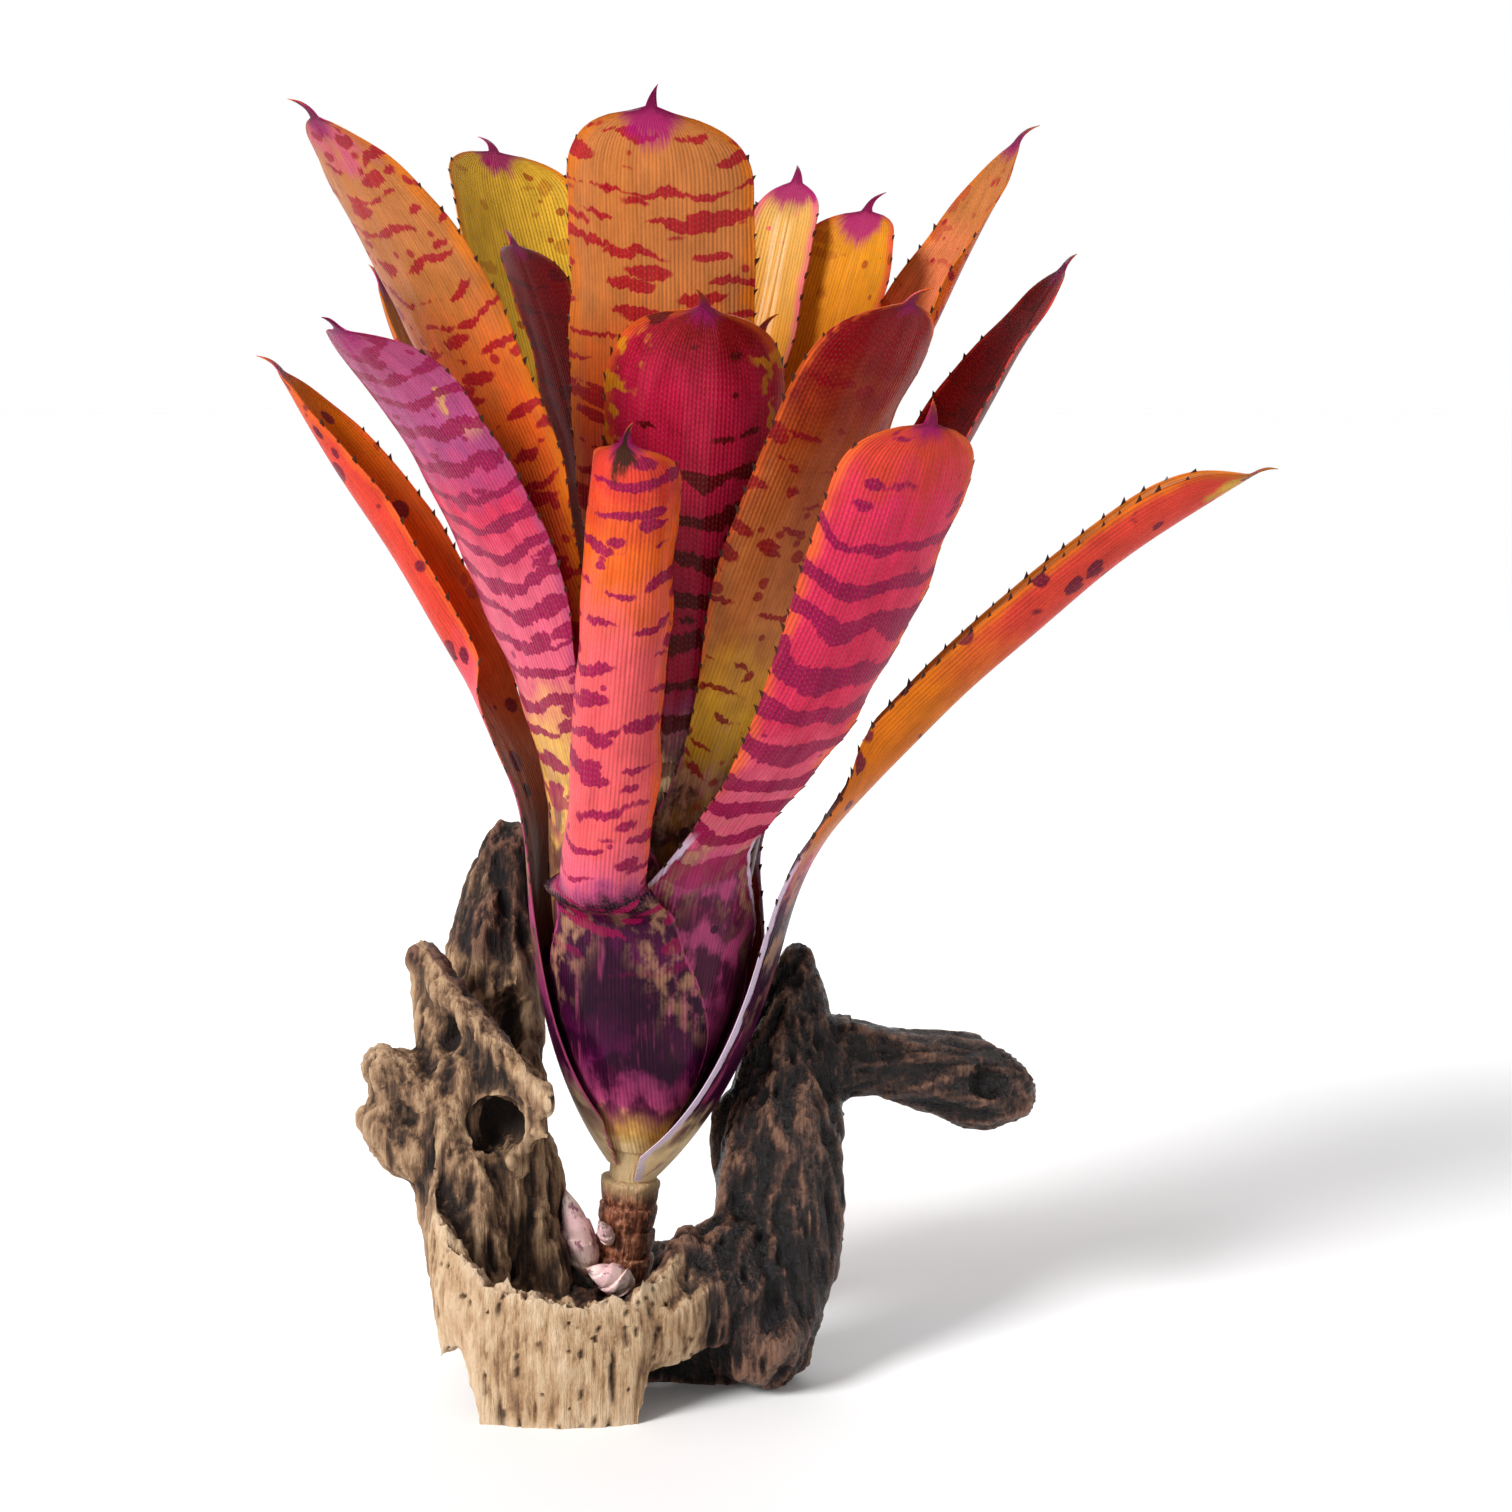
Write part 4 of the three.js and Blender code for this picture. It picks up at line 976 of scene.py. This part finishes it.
def along_rim(points):
    """For points of the wood: how far they lie from the left rim's line, and how far above it."""
    x, y, z = (points + np.array(FOOT)).T
    places, depths, heights = zip(*WOOD_RIM)
    line = np.stack([x, np.interp(x, places, depths), np.interp(x, places, heights)], axis=-1)
    away = np.hypot(y - line[:, 1], z - line[:, 2]) + np.maximum(0, x - places[-1])
    return away + np.maximum(0, places[0] - x), z - line[:, 2]


def wood_fields(points):
    """Lumps, folds, grain, splits, cells and seams of the wood at each point, an array each."""
    fields = np.empty((len(points), 6))
    for i, point in enumerate(points):
        spot = Vector(point)
        run = Vector(point * (ARM_GRAIN if point[0] > ARM_FROM else UPRIGHT_GRAIN))
        fields[i] = (
            noise.noise(spot * LUMP_GRAIN),
            1 - 2 * abs(noise.noise(run * 0.4 + Vector((3, 0, 0)))),
            1 - 2 * abs(noise.noise(run * 1.6)) + 0.5 * noise.noise(run * 4),
            noise.noise(run * 0.8 + Vector((0, 9, 0))),
            noise.voronoi(run * 0.6)[0][0],
            abs(noise.noise(Vector(point * CRACK_GRAIN))),
        )
    return fields.T


def splinters(points):
    """How far the sawn foot's crest is splintered up or down at each point."""
    return np.array([noise.noise(Vector((x * 0.3, y * 0.3, 0))) * 3
                     + noise.noise(Vector((x * 0.9, y * 0.9, 5))) * 2 for x, y, _ in points])


def wood_piece():
    """The stump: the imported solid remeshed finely, softened, then worn with grain and tears."""
    mesh = remeshed(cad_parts["driftwood"].data, WOOD_VOXEL)
    points = column(mesh.vertices, "co", 3) / MM
    edges = column(mesh.edges, "vertices", 2, int)
    faces = [tuple(face.vertices) for face in mesh.polygons]
    grounded = points[:, 2] < GROUNDED_BELOW
    points = relaxed(points, edges, WOOD_SOFTENING)
    mesh.vertices.foreach_set("co", (points * MM).ravel())
    mesh.update()
    normals = column(mesh.vertices, "normal", 3)

    # where it is: on the sawn foot, facing out from the cup, inside the cup
    x, y, z = points.T
    foot = smooth((14 - y) / 10) * smooth((56 - z) / 14) * smooth((36 - x) / 8)
    bare = 1 - foot
    outward = points[:, :2] - np.array(CUP_CENTRE)
    outward /= np.linalg.norm(outward, axis=1)[:, None]
    facing = (outward * normals[:, :2]).sum(axis=1)
    inside = smooth((0.25 - facing) / 0.5) * smooth((60 - z) / 16) * smooth((33 - abs(x)) / 6)

    # what wears it: folds, tears and grain everywhere, cracks and a splintered crest on the foot
    lumps, folds, grain, splits, cells, seams = wood_fields(points)
    torn = smooth((0.42 - cells) / 0.3) * smooth((splits + 0.1) / 0.25) * bare
    crack = smooth((0.035 - seams) / 0.03) * foot * smooth((facing - 0.2) / 0.3)
    folds -= folds.mean()
    grain -= grain.mean()
    move = bare * (LUMP_HEIGHT * lumps + FOLD_HEIGHT * folds - TEAR_DEPTH * torn)
    move = move + mix(0.5, 0.3, foot) * grain - CRACK_DEPTH * crack
    points = points + normals * move[:, None]
    crest = foot * smooth((normals[:, 2] - 0.25) / 0.4) * smooth((z - 18) / 6)
    points[:, 2] += crest * (splinters(points) - 0.6)
    points[grounded, 2] = 0.0
    points[:, 2] = np.maximum(points[:, 2], 0)

    # how it is coloured: pale at the left, on the foot and along the rim, darker above the left rim;
    # painted shade in every hollow and painted light on ridges, and painted shade inside the cup
    dip = hollowness(points, edges, normals, 6)
    deep = hollowness(points, edges, normals, 60)
    away, above = along_rim(points)
    edge = smooth((5.5 - away) / 2.5) * smooth((0.4 - normals[:, 1]) / 0.5)
    hollow = smooth((above - 1) / 4) * smooth((-8 - x) / 5) * smooth((50 - y) / 6)
    tone_and_shade = 0.48 + 0.08 * folds + 0.08 * grain - 0.16 * torn + 0.1 * lumps
    # painted shade where the surface dips in and painted light where it ridges, at a fine and a broad
    # scale; the last term darkens the right
    tone_and_shade -= np.clip(0.32 * dip, -0.2, 0.3) + np.clip(0.09 * deep, -0.14, 0.2) + 0.05 * smooth((x - 4) / 14)
    left = smooth((4 - x) / 14)
    # on the foot, the inside of the cup is painted shade: it is made less pale there
    pale = 0.02 + 0.56 * left - 0.42 * hollow + 0.9 * foot * mix(1.0, 0.35, inside)
    pale -= 0.42 * left * smooth((z - 86) / 12) * smooth((y - 20) / 10)
    pale = np.maximum(np.clip(pale, 0, 1), 0.8 * edge)
    gloss = bare * np.maximum(smooth((x - 5) / 20), 0.6 * hollow) * smooth((0.6 - torn) / 0.4)
    piece = new_piece("driftwood_grain", points, faces, "driftwood", wood_material())
    give(piece, "wood_tone", np.stack([tone_and_shade, pale, gloss], axis=-1))
    give(piece, "wood_crack", np.repeat(crack[:, None], 3, axis=1))
    give(piece, "wood_mm", points)


def floor():
    """A plain pale floor, which isn't part of the object."""
    far = FLOOR_REACH
    mesh = bpy.data.meshes.new("floor")
    mesh.from_pydata([(-far, -far, 0), (far, -far, 0), (far, far, 0), (-far, far, 0)], [], [(0, 1, 2, 3)])
    made = bpy.data.objects.new("floor", mesh)
    bpy.context.scene.collection.objects.link(made)
    g = Graph("floor_paint", **{"Specular IOR Level": 0.1})
    mesh.materials.append(g.finish(FLOOR_COLOUR, 0.9))


def lamp(name, kind, place, power, **settings):
    """A light that looks at the middle of the plant."""
    data = bpy.data.lights.new(name, kind)
    data.energy = power
    for key, value in settings.items():
        setattr(data, key, value)
    made = bpy.data.objects.new(name, data)
    made.location = place
    made.rotation_euler = (LOOK_AT - Vector(place)).to_track_quat("-Z", "Y").to_euler()
    bpy.context.scene.collection.objects.link(made)


def sky():
    """A studio whose walls are white at eye height and grey above, where less light comes from."""
    world = bpy.data.worlds.new("studio")
    world.use_nodes = True
    tree = world.node_tree
    place = tree.nodes.new("ShaderNodeTexCoord")
    parts = tree.nodes.new("ShaderNodeSeparateXYZ")
    height = tree.nodes.new("ShaderNodeMapRange")
    height.interpolation_type = "SMOOTHSTEP"
    for name, value in (("From Min", SKY_DIMS_FROM), ("From Max", SKY_DIMS_TO), ("To Min", 1.0),
                        ("To Max", SKY_ABOVE)):
        height.inputs[name].default_value = value
    background = tree.nodes["Background"]
    background.inputs["Color"].default_value = (1, 1, 1, 1)
    tree.links.new(place.outputs["Generated"], parts.inputs[0])
    tree.links.new(parts.outputs["Z"], height.inputs["Value"])
    tree.links.new(height.outputs["Result"], background.inputs["Strength"])
    bpy.context.scene.world = world


def camera():
    scene = bpy.context.scene
    made = bpy.data.objects.new("camera", bpy.data.cameras.new("camera"))
    made.data.sensor_width = SENSOR_WIDTH
    made.data.lens = SENSOR_WIDTH * FOCAL_LENGTH / PHOTO_WIDTH
    made.location = CAMERA_PLACE
    made.rotation_euler = (math.radians(90 - CAMERA_DIP), 0, 0)
    scene.collection.objects.link(made)
    scene.camera = made


for layer, leaf in enumerate(LEAVES):
    leaf_piece({**USUAL_LEAF, **leaf}, layer)
stem_piece()
for seed, bud in enumerate(OFFSHOOTS):
    offshoot_piece(bud, seed)
wood_piece()

bpy.context.scene.view_settings.view_transform = "Standard"
sky()
floor()
lamp("key", "SUN", KEY_PLACE, KEY_STRENGTH, angle=math.radians(KEY_ANGLE))
lamp("rim", "AREA", RIM_PLACE, RIM_POWER, size=RIM_SIZE)
camera()
